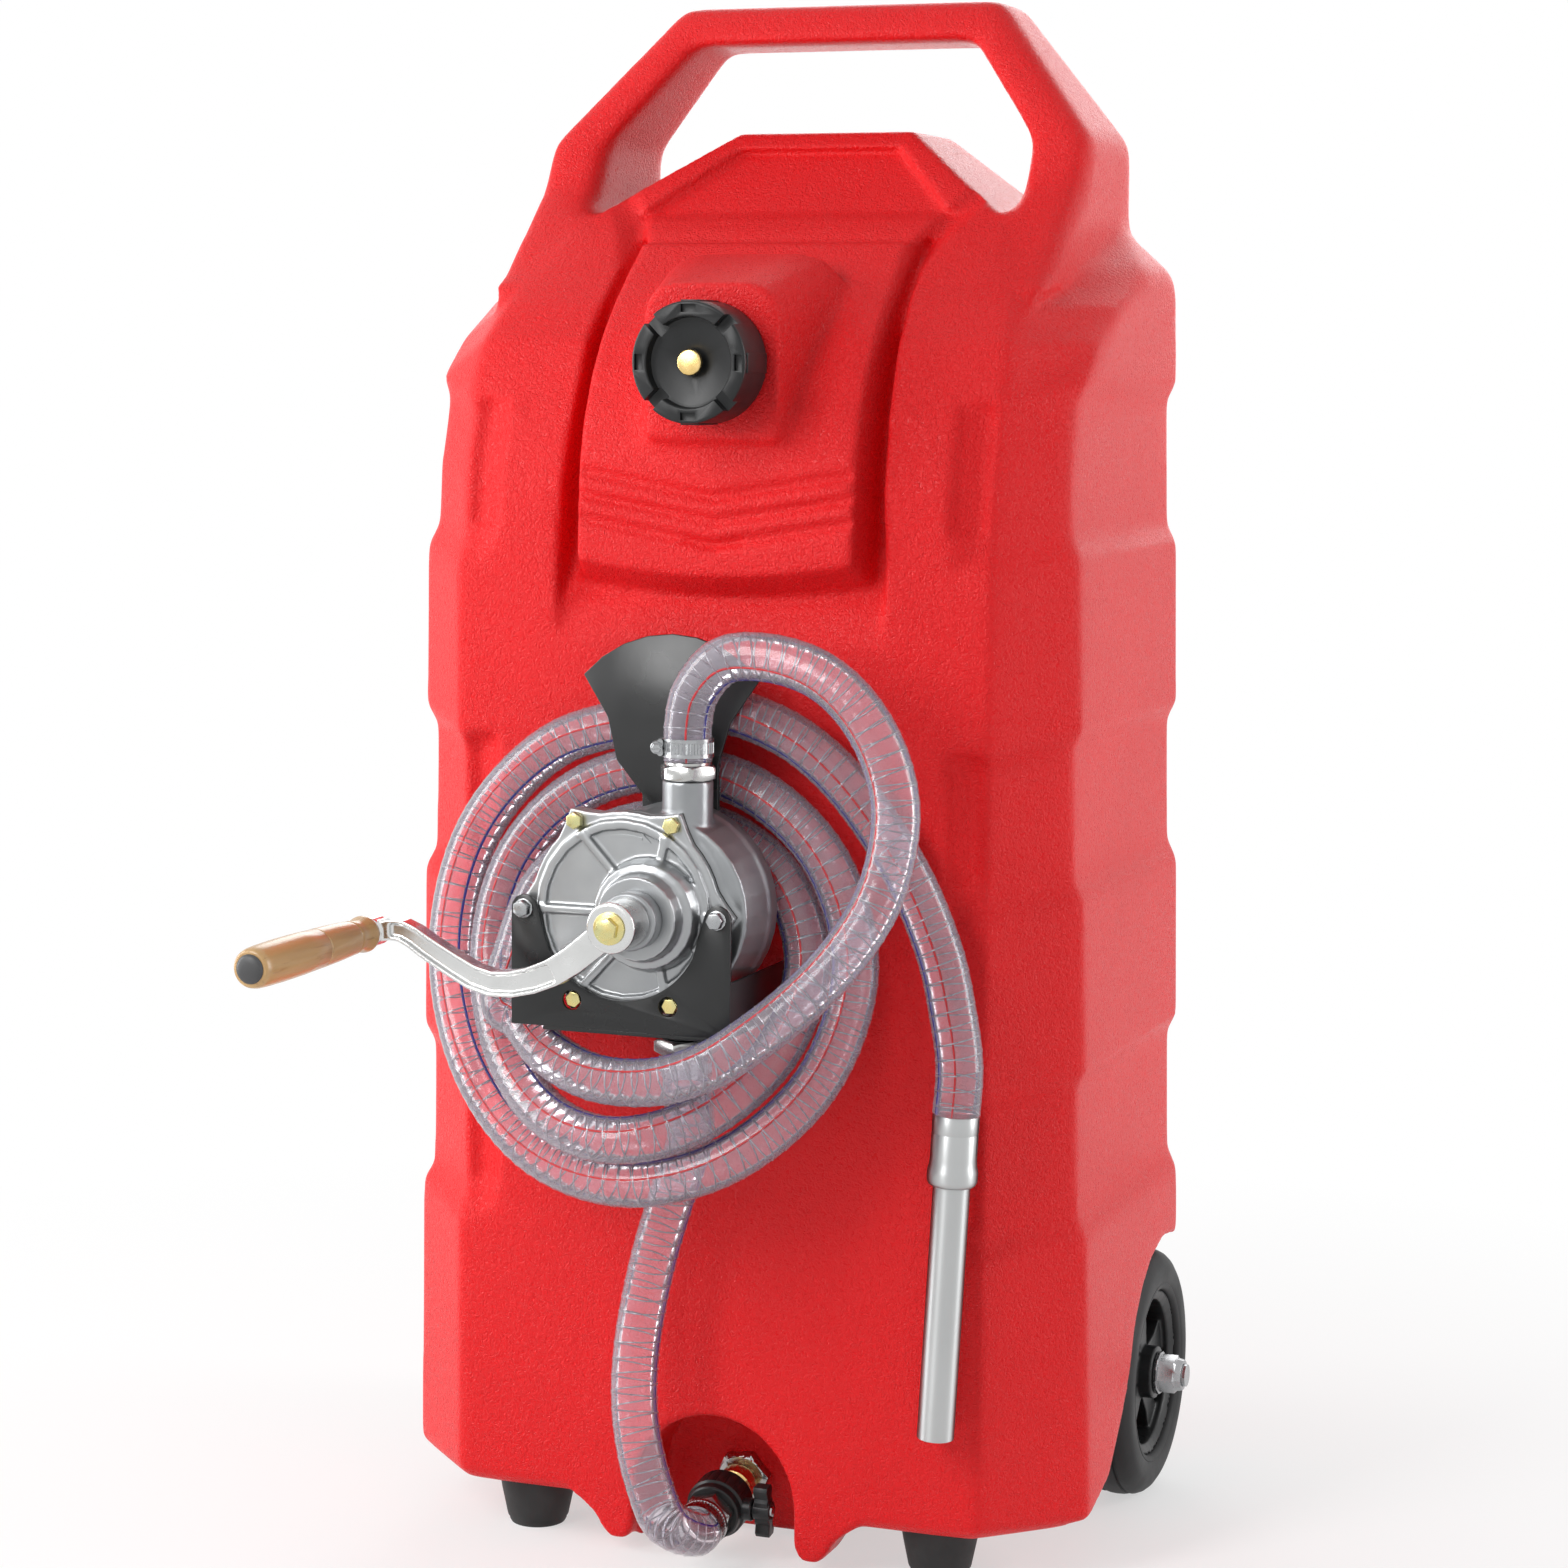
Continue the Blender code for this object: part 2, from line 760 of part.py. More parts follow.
def cavity_rings():
    """The inside of the tank: narrow between the wheel wells and full above them."""
    low = tank_base + tank_wall + 0.002
    behind = recess_wall_y + tank_wall + 0.006
    narrow = well_inner_x - tank_wall - 0.004
    over_axle = wheel_radius + 0.030
    before_axle = wheel_y - 0.025
    rear = tank_rear - tank_wall - band_depth
    over_well = wheel_radius + well_radius + 0.024
    skin = tank_wall + band_depth + 0.001

    def section(z, half, front, corner_half, corner_y, back):
        right = [
            (corner_half, front, z),
            (half, corner_y, z),
            (half, back - 0.022, z),
            (half - 0.022, back, z),
        ]
        return right + [(-x, y, height) for x, y, height in reversed(right)]

    def full(z, front):
        half = half_width(z) - skin
        corner = front_half_width - skin
        return section(z, half, front, corner, front + half - corner, rear)

    rings = [
        section(low, narrow, behind, narrow - 0.02, behind + 0.02, before_axle),
        section(over_axle, narrow, behind, narrow - 0.02, behind + 0.02, before_axle),
        section(over_axle + 0.012, narrow, behind, narrow - 0.02, behind + 0.02, rear),
        section(over_well - 0.012, narrow, behind, narrow - 0.02, behind + 0.02, rear),
        full(over_well, -tank_front + skin),
        full(groove_start - 0.01, -tank_front + skin),
    ]
    for z in (groove_full, 0.76, 0.82):
        rings.append(full(z, groove_floor(z) + skin))
    last = shoulder_side - 0.012
    half = half_width(last) - 0.045
    front = groove_floor(last) + 0.016
    rings.append(section(last, half, front, half - 0.04, front + 0.05, rear))
    return rings


# Filler cap with its vent


def make_cap(frame, lift, cap_axis, black, rubber, brass, steel):
    base = -boss_face - cap_gap
    front = base - cap_height
    floor = front + cap_recess
    inner = neck_radius + cap_clearance
    seat = floor + cap_wall
    profile = [
        (vent_stem + cap_clearance, floor),
        (cap_radius - cap_rim, floor),
        (cap_radius - cap_rim, front + 0.0006),
        (cap_radius - 0.0025, front + 0.0006),
        (cap_radius, front + 0.003),
        (cap_radius, base),
        (inner, base),
        (inner, seat),
        (vent_stem + cap_clearance, seat),
    ]
    centre = (0.0, filler_z)
    origin = (0.0, front, filler_z)
    cap = solid("filler_cap", lathe(profile, "Y", centre, lathe_steps), black, cap_axis, origin)
    for k in range(4):
        low = (-cap_slot / 2, front - 0.01, filler_z + cap_radius - cap_rim - 0.004)
        slot = box(low, (cap_slot / 2, floor - 0.0006, filler_z + 0.06))
        cut(cap, turned(slot, 45 + 90 * k, "Y", (0, 0, filler_z)), cap_axis, origin)
        low = (-0.0065, front - 0.01, filler_z + cap_radius - 0.0045)
        notch = box(low, (0.0065, front + 0.0055, filler_z + cap_radius + 0.004))
        cut(cap, turned(notch, 90 * k, "Y", (0, 0, filler_z)), cap_axis, origin)

    outer = neck_radius - 0.0005
    washer = ring(outer, neck_bore + 0.001, "Y", seat + face_gap, seat + face_gap + gasket_thickness, centre)
    gasket_origin = (0.0, -boss_face - neck_length, filler_z)
    solid("cap_gasket", washer, rubber, lift, gasket_origin)

    button_back = floor - vent_travel - face_gap
    button_front = floor - vent_height
    stem_end = seat + 0.0004
    button = [
        (0.0, button_front),
        (vent_radius - 0.0008, button_front),
        (vent_radius, button_front + 0.0008),
        (vent_radius, button_back - 0.0006),
        (vent_stem, button_back),
        (vent_stem, stem_end),
        (vent_stem + 0.0020, stem_end + 0.0002),
        (vent_stem + 0.0020, stem_end + 0.0020),
        (0.0, stem_end + 0.0020),
    ]
    solid("vent_button", lathe(button, "Y", centre, 16), brass, cap_axis, origin)
    coils = []
    turns = 2
    for i in range(turns * 12 + 1):
        t = 2 * math.pi * i / 12
        rise = i / (turns * 12)
        radius = vent_stem + 0.0011 + 0.0026 * rise
        along = button_back + 0.0009 + rise * (floor - button_back - 0.0018)
        coils.append((radius * math.cos(t), along - front, radius * math.sin(t)))
    tube("vent_spring", coils, 0.00045, steel, cap_axis, 0)


# Pump


def lug_angles():
    return [0, 60, 120, 180, 240, 300]


def at_bolt(angle, radius=bolt_circle):
    t = math.radians(angle)
    return (pump_x + radius * math.cos(t), pump_z + radius * math.sin(t))


def lobed_outline(radius, lugs):
    """A round outline with a lug at each bolt."""
    points = []
    reach = bolt_circle + lugs
    steps = 8
    for angle in lug_angles():
        for i in range(steps):
            offset = -30 + 60 * i / steps
            t = math.radians(angle + offset)
            bulge = math.exp(-((offset / 7.5) ** 2))
            r = radius + (reach - radius) * bulge
            points.append((pump_x + r * math.cos(t), pump_z + r * math.sin(t)))
    return points


def make_pump(frame, crank_axis, cast, gasket, steel, bronze, packing):
    centre = (pump_x, pump_z)
    shaft_centre = (rotor_x, pump_z)

    cover = solid(
        "pump_cover",
        prism(lobed_outline(cover_radius, lug_radius), "Y", -cover_front, -cover_back),
        cast,
        frame,
    )
    fuse(
        cover,
        ring(
            cover_radius - 0.005,
            cover_radius - 0.011,
            "Y",
            -cover_front - rim_rise,
            -cover_front + 0.002,
            centre,
        ),
        frame,
    )
    for angle in lug_angles():
        near = Vector((*at_bolt(angle, bolt_circle - 0.0085), 0.0))
        hub = Vector((*shaft_centre, 0.0))
        along = (near - hub).normalized()
        across = Vector((-along.y, along.x, 0.0)) * cover_rib / 2
        start = hub + along * (boss_one_radius - 0.004)
        corners = [start + across, near + across, near - across, start - across]
        rib = prism([(p.x, p.y) for p in corners], "Y", -cover_front - cover_rib_rise, -cover_front + 0.0025)
        fuse(cover, rib, frame)
    boss = [
        (shaft_radius + shaft_bush_wall + face_gap, -cover_back + 0.0),
        (boss_one_radius + 0.003, -cover_back + 0.0),
        (boss_one_radius + 0.003, -cover_front - 0.004),
        (boss_one_radius, -cover_front - boss_one_rise),
        (boss_two_radius + 0.002, -cover_front - boss_one_rise - 0.001),
        (boss_two_radius, -cover_front - boss_two_rise),
        (packing_radius + face_gap, -cover_front - boss_two_rise),
        (packing_radius + face_gap, -cover_front - boss_two_rise + 0.010),
        (shaft_radius + shaft_bush_wall + face_gap, -cover_front - boss_two_rise + 0.010),
    ]
    cut(cover, cylinder(shaft_radius + shaft_bush_wall + 0.002, "Y", -0.30, -0.24, shaft_centre), frame)
    fuse(cover, lathe(boss, "Y", shaft_centre), frame)
    for angle in lug_angles():
        cut(cover, cylinder(bolt_shank + face_gap, "Y", -0.30, -0.24, at_bolt(angle), 10), frame)

    seal = prism(
        lobed_outline(cover_radius - 0.0004, lug_radius - 0.0004),
        "Y",
        -cover_back + face_gap,
        -housing_front,
    )
    paper = solid("cover_gasket", seal, gasket, frame)
    cut(paper, cylinder(chamber_radius, "Y", -0.30, -0.24, centre), frame)
    for angle in lug_angles():
        cut(paper, cylinder(bolt_shank + face_gap, "Y", -0.30, -0.24, at_bolt(angle), 10), frame)

    front = -housing_front + face_gap
    housing = solid(
        "pump_housing",
        prism(lobed_outline(cover_radius, lug_radius), "Y", front, front + housing_flange),
        cast,
        frame,
    )
    drum = [
        (0.0, front + 0.0015),
        (housing_radius - 0.004, front + 0.0015),
        (housing_radius, front + 0.030),
        (housing_radius + 0.0015, front + 0.034),
        (housing_radius + 0.0015, -housing_back - 0.004),
        (housing_radius - 0.003, -housing_back),
        (0.0, -housing_back),
    ]
    fuse(housing, lathe(drum, "Y", shaft_centre, lathe_steps), frame)
    fuse(housing, cylinder(port_radius, "Z", pump_z, outlet_top, (port_x, -port_y), 24), frame)
    fuse(housing, cylinder(port_radius, "Z", inlet_bottom, pump_z, (port_x, -port_y), 24), frame)
    cut(housing, cylinder(chamber_radius, "Y", front - 0.02, front + chamber_depth, centre), frame)
    cut(
        housing,
        cylinder(port_bore, "Z", pump_z + 0.030, outlet_top + 0.02, (port_x, -port_y), small_steps),
        frame,
    )
    cut(
        housing,
        cylinder(port_bore, "Z", inlet_bottom - 0.02, pump_z - 0.030, (port_x, -port_y), small_steps),
        frame,
    )
    bearing = cylinder(shaft_radius + running_gap, "Y", -0.25, -housing_back - 0.004, shaft_centre, 24)
    cut(housing, bearing, frame)
    for angle in lug_angles():
        cut(
            housing,
            cylinder(bolt_shank + face_gap, "Y", -0.30, front + housing_flange + 0.02, at_bolt(angle), 10),
            frame,
        )
    for x, z in mount_bolt_places():
        cut(
            housing,
            cylinder(bolt_shank + face_gap, "Y", -housing_back - 0.008, -housing_back + 0.02, (x, z), 10),
            frame,
        )

    outer = shaft_radius + shaft_bush_wall
    inner = shaft_radius + running_gap
    sleeve = ring(
        outer,
        inner,
        "Y",
        -cover_front - boss_two_rise + 0.0106,
        -cover_back - face_gap,
        shaft_centre,
        24,
    )
    solid("shaft_bush", sleeve, bronze, frame)
    pack_back = -cover_front - boss_two_rise + 0.010 - face_gap
    pack_front = -cover_front - boss_two_rise + 0.0004
    solid(
        "shaft_packing",
        ring(packing_radius, inner, "Y", pack_front, pack_back, shaft_centre, 24),
        packing,
        frame,
    )
    gland_back = -cover_front - boss_two_rise - face_gap
    gland = [
        (inner, -cover_front - gland_rise),
        (gland_radius - 0.0015, -cover_front - gland_rise),
        (gland_radius, -cover_front - gland_rise + 0.0015),
        (gland_radius, gland_back),
        (inner, gland_back),
    ]
    solid("gland_nut", lathe(gland, "Y", shaft_centre, 24), cast, frame)
    make_rotor(crank_axis, front, steel, bronze, cast)


def make_rotor(crank_axis, front, steel, bronze, cast):
    """Everything inside the chamber that turns with the shaft; the vanes are drawn fully in."""
    origin = (rotor_x, -crank_front, pump_z)
    centre = (rotor_x, pump_z)
    low = front + 0.0006
    high = front + chamber_depth - 0.0006
    rotor = solid(
        "rotor",
        ring(rotor_radius, shaft_radius + face_gap, "Y", low, high, centre),
        cast,
        crank_axis,
        origin,
    )
    slot_inner = rotor_radius - vane_length - 0.001
    for k in range(vane_count):
        angle = 45 + 360 * k / vane_count
        about = (rotor_x, 0.0, pump_z)
        half = vane_thickness / 2 + face_gap
        slot = box(
            (rotor_x + slot_inner, low - 0.01, pump_z - half),
            (rotor_x + rotor_radius + 0.01, high + 0.01, pump_z + half),
        )
        cut(rotor, turned(slot, angle, "Y", about), crank_axis, origin)
        inner = rotor_x + rotor_radius - vane_length
        blade = box(
            (inner, low, pump_z - vane_thickness / 2),
            (rotor_x + rotor_radius - 0.0004, high, pump_z + vane_thickness / 2),
        )
        solid(f"vane_{k + 1}", turned(blade, angle, "Y", about), bronze, crank_axis, origin)
    shaft = cylinder(shaft_radius, "Y", -crank_hub_front + 0.004, -housing_back - 0.0055, centre, 24)
    solid("pump_shaft", shaft, steel, crank_axis, origin)


# Crank


def crank_line():
    """The S-shaped centre line of the arm, from the hub to the grip pin."""
    points = [
        (rotor_x, pump_z),
        (rotor_x - 0.25 * crank_reach, pump_z - 0.032),
        (rotor_x - 0.50 * crank_reach, pump_z - 0.042),
        (rotor_x - 0.72 * crank_reach, pump_z - 0.026),
        (rotor_x - 0.87 * crank_reach, crank_z + 0.002),
        (grip_x, crank_z),
    ]
    return [Vector((p.x, 0.0, p.y)) for p in smooth_path([(x, z, 0.0) for x, z in points], 3)]


def arm_band(line, inset, start, end):
    """The arm's outline: a band round the centre line that narrows to the grip."""
    upper = []
    lower = []
    last = len(line) - 1
    for i in range(start, end + 1):
        ahead = line[min(i + 1, last)]
        behind = line[max(i - 1, 0)]
        along = (ahead - behind).normalized()
        across = Vector((-along.z, 0.0, along.x))
        half = 0.0095 - 0.0030 * i / last - inset
        upper.append(line[i] + across * half)
        lower.append(line[i] - across * half)
    return [(p.x, p.z) for p in upper + lower[::-1]]


def make_crank(crank_axis, grip_axis, cast, zinc, wood, steel, dark):
    origin = (rotor_x, -crank_front, pump_z)
    line = crank_line()
    last = len(line) - 1
    arm_back = -crank_front + crank_thickness
    arm = solid(
        "crank_arm",
        prism(arm_band(line, 0.0, 0, last), "Y", -crank_front + 0.002, arm_back - 0.001),
        cast,
        crank_axis,
        origin,
    )
    hub_back = -cover_front - gland_rise - crank_gland_gap
    hub = [
        (0.0, -crank_hub_front),
        (crank_hub_radius - 0.0012, -crank_hub_front),
        (crank_hub_radius, -crank_hub_front + 0.0012),
        (crank_hub_radius, hub_back),
        (0.0, hub_back),
    ]
    fuse(arm, lathe(hub, "Y", (rotor_x, pump_z), 28), crank_axis, origin)
    boss = cylinder(0.0098, "Y", -crank_front, arm_back, (grip_x, crank_z), 20)
    fuse(arm, boss, crank_axis, origin)
    for low, high in ((-crank_front - 0.01, -crank_front + 0.0055), (arm_back - 0.0045, arm_back + 0.01)):
        cut(arm, prism(arm_band(line, 0.0026, 3, last - 2), "Y", low, high), crank_axis, origin)
    cut(
        arm,
        cylinder(shaft_radius + face_gap, "Y", -crank_hub_front + 0.0035, -0.25, (rotor_x, pump_z), 24),
        crank_axis,
        origin,
    )
    cut(arm, cylinder(0.0033, "Y", -0.34, -0.25, (rotor_x, pump_z), 10), crank_axis, origin)
    cut(
        arm,
        cylinder(grip_pin_radius + face_gap, "Y", -0.34, -0.25, (grip_x, crank_z), small_steps),
        crank_axis,
        origin,
    )

    centre = (rotor_x, pump_z)
    washer_back = -crank_hub_front - face_gap
    washer_front = washer_back - washer_thickness
    head_front = washer_front - bolt_head
    head = hexagon(crank_bolt_flats, "Y", head_front, washer_front + 0.0004, centre, 20)
    screw = solid("crank_bolt", head, zinc, crank_axis, origin)
    fuse(screw, cylinder(crank_washer_radius, "Y", washer_front, washer_back, centre, 24), crank_axis, origin)
    fuse(
        screw,
        cylinder(0.0028, "Y", washer_back - 0.0004, -crank_hub_front + 0.0036, centre, 12),
        crank_axis,
        origin,
    )

    back = -grip_back
    front = back - grip_length
    bore = grip_pin_radius + running_gap
    grip = [
        (bore, back),
        (0.0108, back),
        (0.0118, back - 0.003),
        (0.0100, back - 0.012),
        (0.0112, back - 0.020),
        (0.0106, back - 0.0215),
        (0.0116, back - 0.024),
        (grip_radius - 0.0005, back - 0.052),
        (grip_radius, back - 0.090),
        (grip_radius - 0.0010, front + 0.006),
        (grip_radius - 0.0035, front),
        (bore, front),
    ]
    grip_origin = (grip_x, back, crank_z)
    pin_centre = (grip_x, crank_z)
    solid("crank_grip", lathe(grip, "Y", pin_centre, 16), wood, grip_axis, grip_origin)
    pin = [
        (0.0, -crank_front + crank_thickness + 0.0050),
        (grip_pin_radius + 0.0028, -crank_front + crank_thickness + 0.0050),
        (grip_pin_radius + 0.0028, -crank_front + crank_thickness + 0.0006),
        (grip_pin_radius, -crank_front + crank_thickness + 0.0006),
        (grip_pin_radius, front - 0.0008),
        (0.0, front - 0.0008),
    ]
    solid("grip_pin", lathe(pin, "Y", pin_centre, small_steps), steel, crank_axis, origin)
    cap = [
        (0.0, front - grip_end_thickness),
        (grip_radius - 0.0050, front - grip_end_thickness),
        (grip_radius - 0.0038, front - grip_end_thickness + 0.0010),
        (grip_radius - 0.0038, front - face_gap),
        (grip_pin_radius + 0.0010, front - face_gap),
        (grip_pin_radius + 0.0010, front - 0.0016),
        (0.0, front - 0.0016),
    ]
    solid("grip_end_cap", lathe(cap, "Y", pin_centre, 24), dark, grip_axis, grip_origin)


# Bracket, hanger and their fasteners


def hanger_screw_places():
    reach = hood_half - sheet - hanger_foot / 2
    middle = (hood_bottom + hood_shoulder) / 2
    return [(hood_x - reach, middle), (hood_x + reach, middle)]


def mount_bolt_places():
    return [(rotor_x, pump_z + mount_bolt_reach), (rotor_x, pump_z - mount_bolt_reach / 2)]


def make_bracket(frame, sheet_black):
    """The plate across the lower half of the cover: two lugs, a folded side and a folded lower edge."""
    back = -cover_front - face_gap
    front = back - bracket_thickness
    left = pump_x - bracket_half_width
    right = pump_x + bracket_half_width
    corner = bracket_corner
    outline = [(left, bracket_bottom + corner), (left + corner, bracket_bottom)]
    outline += [(right - corner, bracket_bottom), (right, bracket_bottom + corner)]
    for side in (1, -1):
        lug = at_bolt(0 if side > 0 else 180)
        angles = (-10, 30, 75, 120) if side > 0 else (60, 105, 150, 190)
        for angle in angles:
            t = math.radians(angle)
            outline.append((lug[0] + 0.0092 * math.cos(t), lug[1] + 0.0092 * math.sin(t)))
        if side > 0:
            for i in range(11):
                t = math.radians(-20 - 140 * i / 10)
                outline.append((pump_x + bracket_cutout * math.cos(t), pump_z + bracket_cutout * math.sin(t)))
    plate = solid("pump_bracket", prism(outline, "Y", front, back), sheet_black, frame)
    lip = [
        (front + 0.0002, bracket_bottom + 0.008),
        (front + 0.0002, bracket_bottom),
        (front + 0.0025, bracket_bottom - 0.0025),
        (front + bracket_lip, bracket_bottom - 0.0025),
        (front + bracket_lip, bracket_bottom + 0.0003),
        (back, bracket_bottom + 0.0016),
        (back - 0.0002, bracket_bottom + 0.008),
    ]
    fuse(plate, prism(lip, "X", left + bracket_lip_left, right - bracket_lip_right), frame)
    low = (right - bracket_thickness, back - 0.001, bracket_bottom)
    high = (right, -tank_front - face_gap, bracket_bottom + bracket_side_height)
    fuse(plate, box(low, high), frame)
    for angle in (0, 180):
        cut(plate, cylinder(bolt_shank + face_gap, "Y", -0.30, -0.24, at_bolt(angle), 12), frame)
    for angle in (240, 300):
        cut(plate, cylinder(0.0085, "Y", -0.30, -0.24, at_bolt(angle), 20), frame)


def hanger_rows():
    """The hanger's left and right edges at each height: back plate, narrow neck and fan."""
    return [
        (hood_x - hood_half, hood_x + hood_half, hood_bottom),
        (hood_x - hood_half, hood_x + hood_half, hood_shoulder),
        (neck_left, neck_right, hood_top),
        (neck_left, neck_right, neck_top),
        (fan_x - crease_half, fan_x + crease_half, crease_z),
        (fan_x - 0.7 * fan_corner_half, fan_x + 0.7 * fan_corner_half, 0.5 * (crease_z + fan_corner_z)),
        (fan_x - fan_corner_half, fan_x + fan_corner_half, fan_corner_z),
    ]


def make_hanger(frame, sheet_black):
    """One bent sheet: fan, neck and back plate, with two side walls that end in feet on the tank."""
    front = -housing_back + face_gap
    radius = (fan_corner_half**2 + (fan_top_z - fan_corner_z) ** 2) / (2 * (fan_top_z - fan_corner_z))
    rows = hanger_rows()
    right = [(high, z) for low, high, z in rows]
    left = [(low, z) for low, high, z in reversed(rows)]
    half_angle = math.asin(fan_corner_half / radius)
    arc = []
    for i in range(1, 8):
        t = half_angle - 2 * half_angle * i / 8
        arc.append((fan_x + radius * math.sin(t), fan_top_z - radius + radius * math.cos(t)))
    outline = right + arc + left

    def leaned(z):
        return fan_lean * max(0.0, z - crease_z) / (fan_top_z - crease_z)

    bm = bmesh.new()
    sides = []
    for offset in (0.0, sheet):
        sides.append([bm.verts.new((x, front + offset + leaned(z), z)) for x, z in outline])
    last = len(rows) - 1
    total = len(outline)
    for row in sides:
        for i in range(last):
            bm.faces.new((row[i], row[i + 1], row[total - 2 - i], row[total - 1 - i]))
        bm.faces.new(row[last : total - last])
    for i in range(total):
        j = (i + 1) % total
        bm.faces.new((sides[0][i], sides[0][j], sides[1][j], sides[1][i]))
    hanger = solid("hose_hanger", bm, sheet_black, frame)

    foot_back = -tank_front - face_gap
    for side in (-1, 1):
        outer = hood_x + side * hood_half
        inner = outer - side * sheet
        low, high = sorted((outer, inner))
        fuse(hanger, box((low, front + 0.0005, hood_bottom), (high, foot_back, hood_shoulder)), frame)
        low, high = sorted((inner + side * 0.0005, inner - side * hanger_foot))
        fuse(hanger, box((low, foot_back - sheet, hood_bottom), (high, foot_back, hood_shoulder)), frame)
    for x, z in hanger_screw_places():
        cut(hanger, cylinder(bolt_shank + face_gap, "Y", -0.18, -0.15, (x, z), 10), frame)
    for x, z in mount_bolt_places():
        cut(hanger, cylinder(bolt_shank + face_gap, "Y", -0.21, -0.19, (x, z), 10), frame)


def bolt(centre, seat, length, flats=bolt_flats, washer=0.0, facing=-1, turn=10.0):
    """A hex bolt whose head stands on a seat; facing -1 puts the head towards the front."""
    head = seat + facing * (face_gap + bolt_head + washer)
    tip = seat - facing * length
    across = flats / math.sqrt(3)
    rows = []
    head_seat = seat + facing * face_gap
    flange_radius = across * 1.12 if washer else across
    for radius, along, steps in (
        (across * 0.90, head, "hex"),
        (across, head - facing * 0.0008, "hex"),
        (across, head_seat + facing * washer, "hex"),
        (flange_radius, head_seat + facing * washer * 0.99, "round"),
        (flange_radius, head_seat, "round"),
        (bolt_shank, head_seat, "round"),
        (bolt_shank, tip, "round"),
    ):
        count = 12
        points = []
        for i in range(count):
            t = 2 * math.pi * i / count + math.radians(turn)
            r = radius
            if steps == "hex" and i % 2:
                r = radius * math.cos(math.pi / 6)
            points.append(on_axis("Y", centre[0] + r * math.cos(t), centre[1] + r * math.sin(t), along))
        rows.append(points)
    return loft(rows)


def make_fasteners(frame, zinc, steel):
    depth = flange_thickness + gasket_layer + housing_flange + 0.004
    for k, angle in enumerate((60, 120, 240, 300)):
        body = bolt(at_bolt(angle), -cover_front, depth, turn=12 + 17 * k)
        solid(f"cover_bolt_{k + 1}", body, zinc, frame)
    seat = -cover_front - cover_rib_rise - bracket_thickness
    reach = depth + cover_rib_rise + bracket_thickness
    for angle, name in ((180, "left"), (0, "right")):
        body = bolt(at_bolt(angle), seat, reach, washer=washer_thickness, turn=5 + angle / 9)
        solid("bracket_bolt_" + name, body, steel, frame)
    back_seat = -housing_back + face_gap + sheet
    for place, name in zip(mount_bolt_places(), ("upper", "lower")):
        solid("pump_mount_bolt_" + name, bolt(place, back_seat, 0.0095, facing=1), steel, frame)
    foot_seat = -tank_front - face_gap - sheet
    for place, name in zip(hanger_screw_places(), ("left", "right")):
        solid("hanger_screw_" + name, bolt(place, foot_seat, sheet + 0.0045), steel, frame)


# Fittings and clamps


def hose_clamp(name, centre, axis, along, mat, pivot, turn, origin=(0.0, 0.0, 0.0)):
    """A worm-drive band: the band with its screw housing beside it."""
    band = solid(
        name,
        ring(clamp_radius, clamp_inner, axis, along, along + clamp_width, centre, 24),
        mat,
        pivot,
        origin,
    )
    reach = clamp_radius + clamp_screw - 0.0012
    t = math.radians(turn)
    place = (centre[0] + reach * math.cos(t), centre[1] + reach * math.sin(t))
    across = (-math.sin(t), math.cos(t))
    middle = Vector(on_axis(axis, place[0], place[1], along + clamp_width / 2))
    run = Vector(on_axis(axis, across[0], across[1], 0.0))
    screw = cylinder(clamp_screw, "Z", -0.0085, 0.0085, steps=8)
    matrix = run.to_track_quat("Z", "Y").to_matrix().to_4x4()
    bmesh.ops.transform(screw, matrix=Matrix.Translation(middle) @ matrix, verts=screw.verts)
    fuse(band, screw, pivot, origin)
    head = hexagon(0.0062, "Z", 0.0080, 0.0125)
    bmesh.ops.transform(head, matrix=Matrix.Translation(middle) @ matrix, verts=head.verts)
    fuse(band, head, pivot, origin)
    return band


def make_fittings(frame, nickel, steel):
    centre = (port_x, -port_y)
    base = outlet_top + face_gap
    outlet = solid(
        "outlet_fitting", hexagon(barb_hex_flats, "Z", base, base + barb_hex, centre), nickel, frame
    )
    cut_bore = cylinder(port_bore - 0.002, "Z", base - 0.03, base + 0.03, centre, small_steps)
    fuse(outlet, cylinder(port_bore - face_gap, "Z", base - 0.014, base + 0.001, centre, small_steps), frame)
    fuse(
        outlet,
        cylinder(port_radius - 0.001, "Z", base + 0.005, outlet_hose_start() - face_gap, centre, 24),
        frame,
    )
    cut(outlet, cut_bore, frame)
    hose_clamp("outlet_clamp", centre, "Z", outlet_hose_start() + 0.003, steel, frame, 200)

    top = inlet_bottom - face_gap
    inlet = solid(
        "inlet_fitting", hexagon(inlet_hex_flats, "Z", top - barb_hex, top, centre, 30), nickel, frame
    )
    fuse(inlet, cylinder(port_bore - face_gap, "Z", top - 0.001, top + 0.014, centre, small_steps), frame)
    fuse(
        inlet,
        cylinder(port_radius - 0.002, "Z", inlet_hose_start() + face_gap, top - 0.005, centre, 24),
        frame,
    )
    cut(inlet, cylinder(port_bore - 0.002, "Z", top - 0.03, top + 0.03, centre, small_steps), frame)
    hose_clamp("inlet_clamp", centre, "Z", inlet_hose_start() - 0.0008 - clamp_width, steel, frame, 160)


def outlet_hose_start():
    return outlet_top + face_gap + barb_hex + 0.002


def inlet_hose_start():
    return inlet_bottom - face_gap - barb_hex - 0.002


# Hoses

coil_x = -0.0285
coil_z = 0.421
coil_reach = (0.0887, 0.0888, 0.1066, 0.1084, 0.1211, 0.1251, 0.1408, 0.1400, 0.1544, 0.1594)
coil_depth = (0.2255, 0.1830, 0.1969, 0.2698, 0.1910, 0.1815, 0.2005, 0.2548, 0.1864, 0.1802)
coil_steps = 24


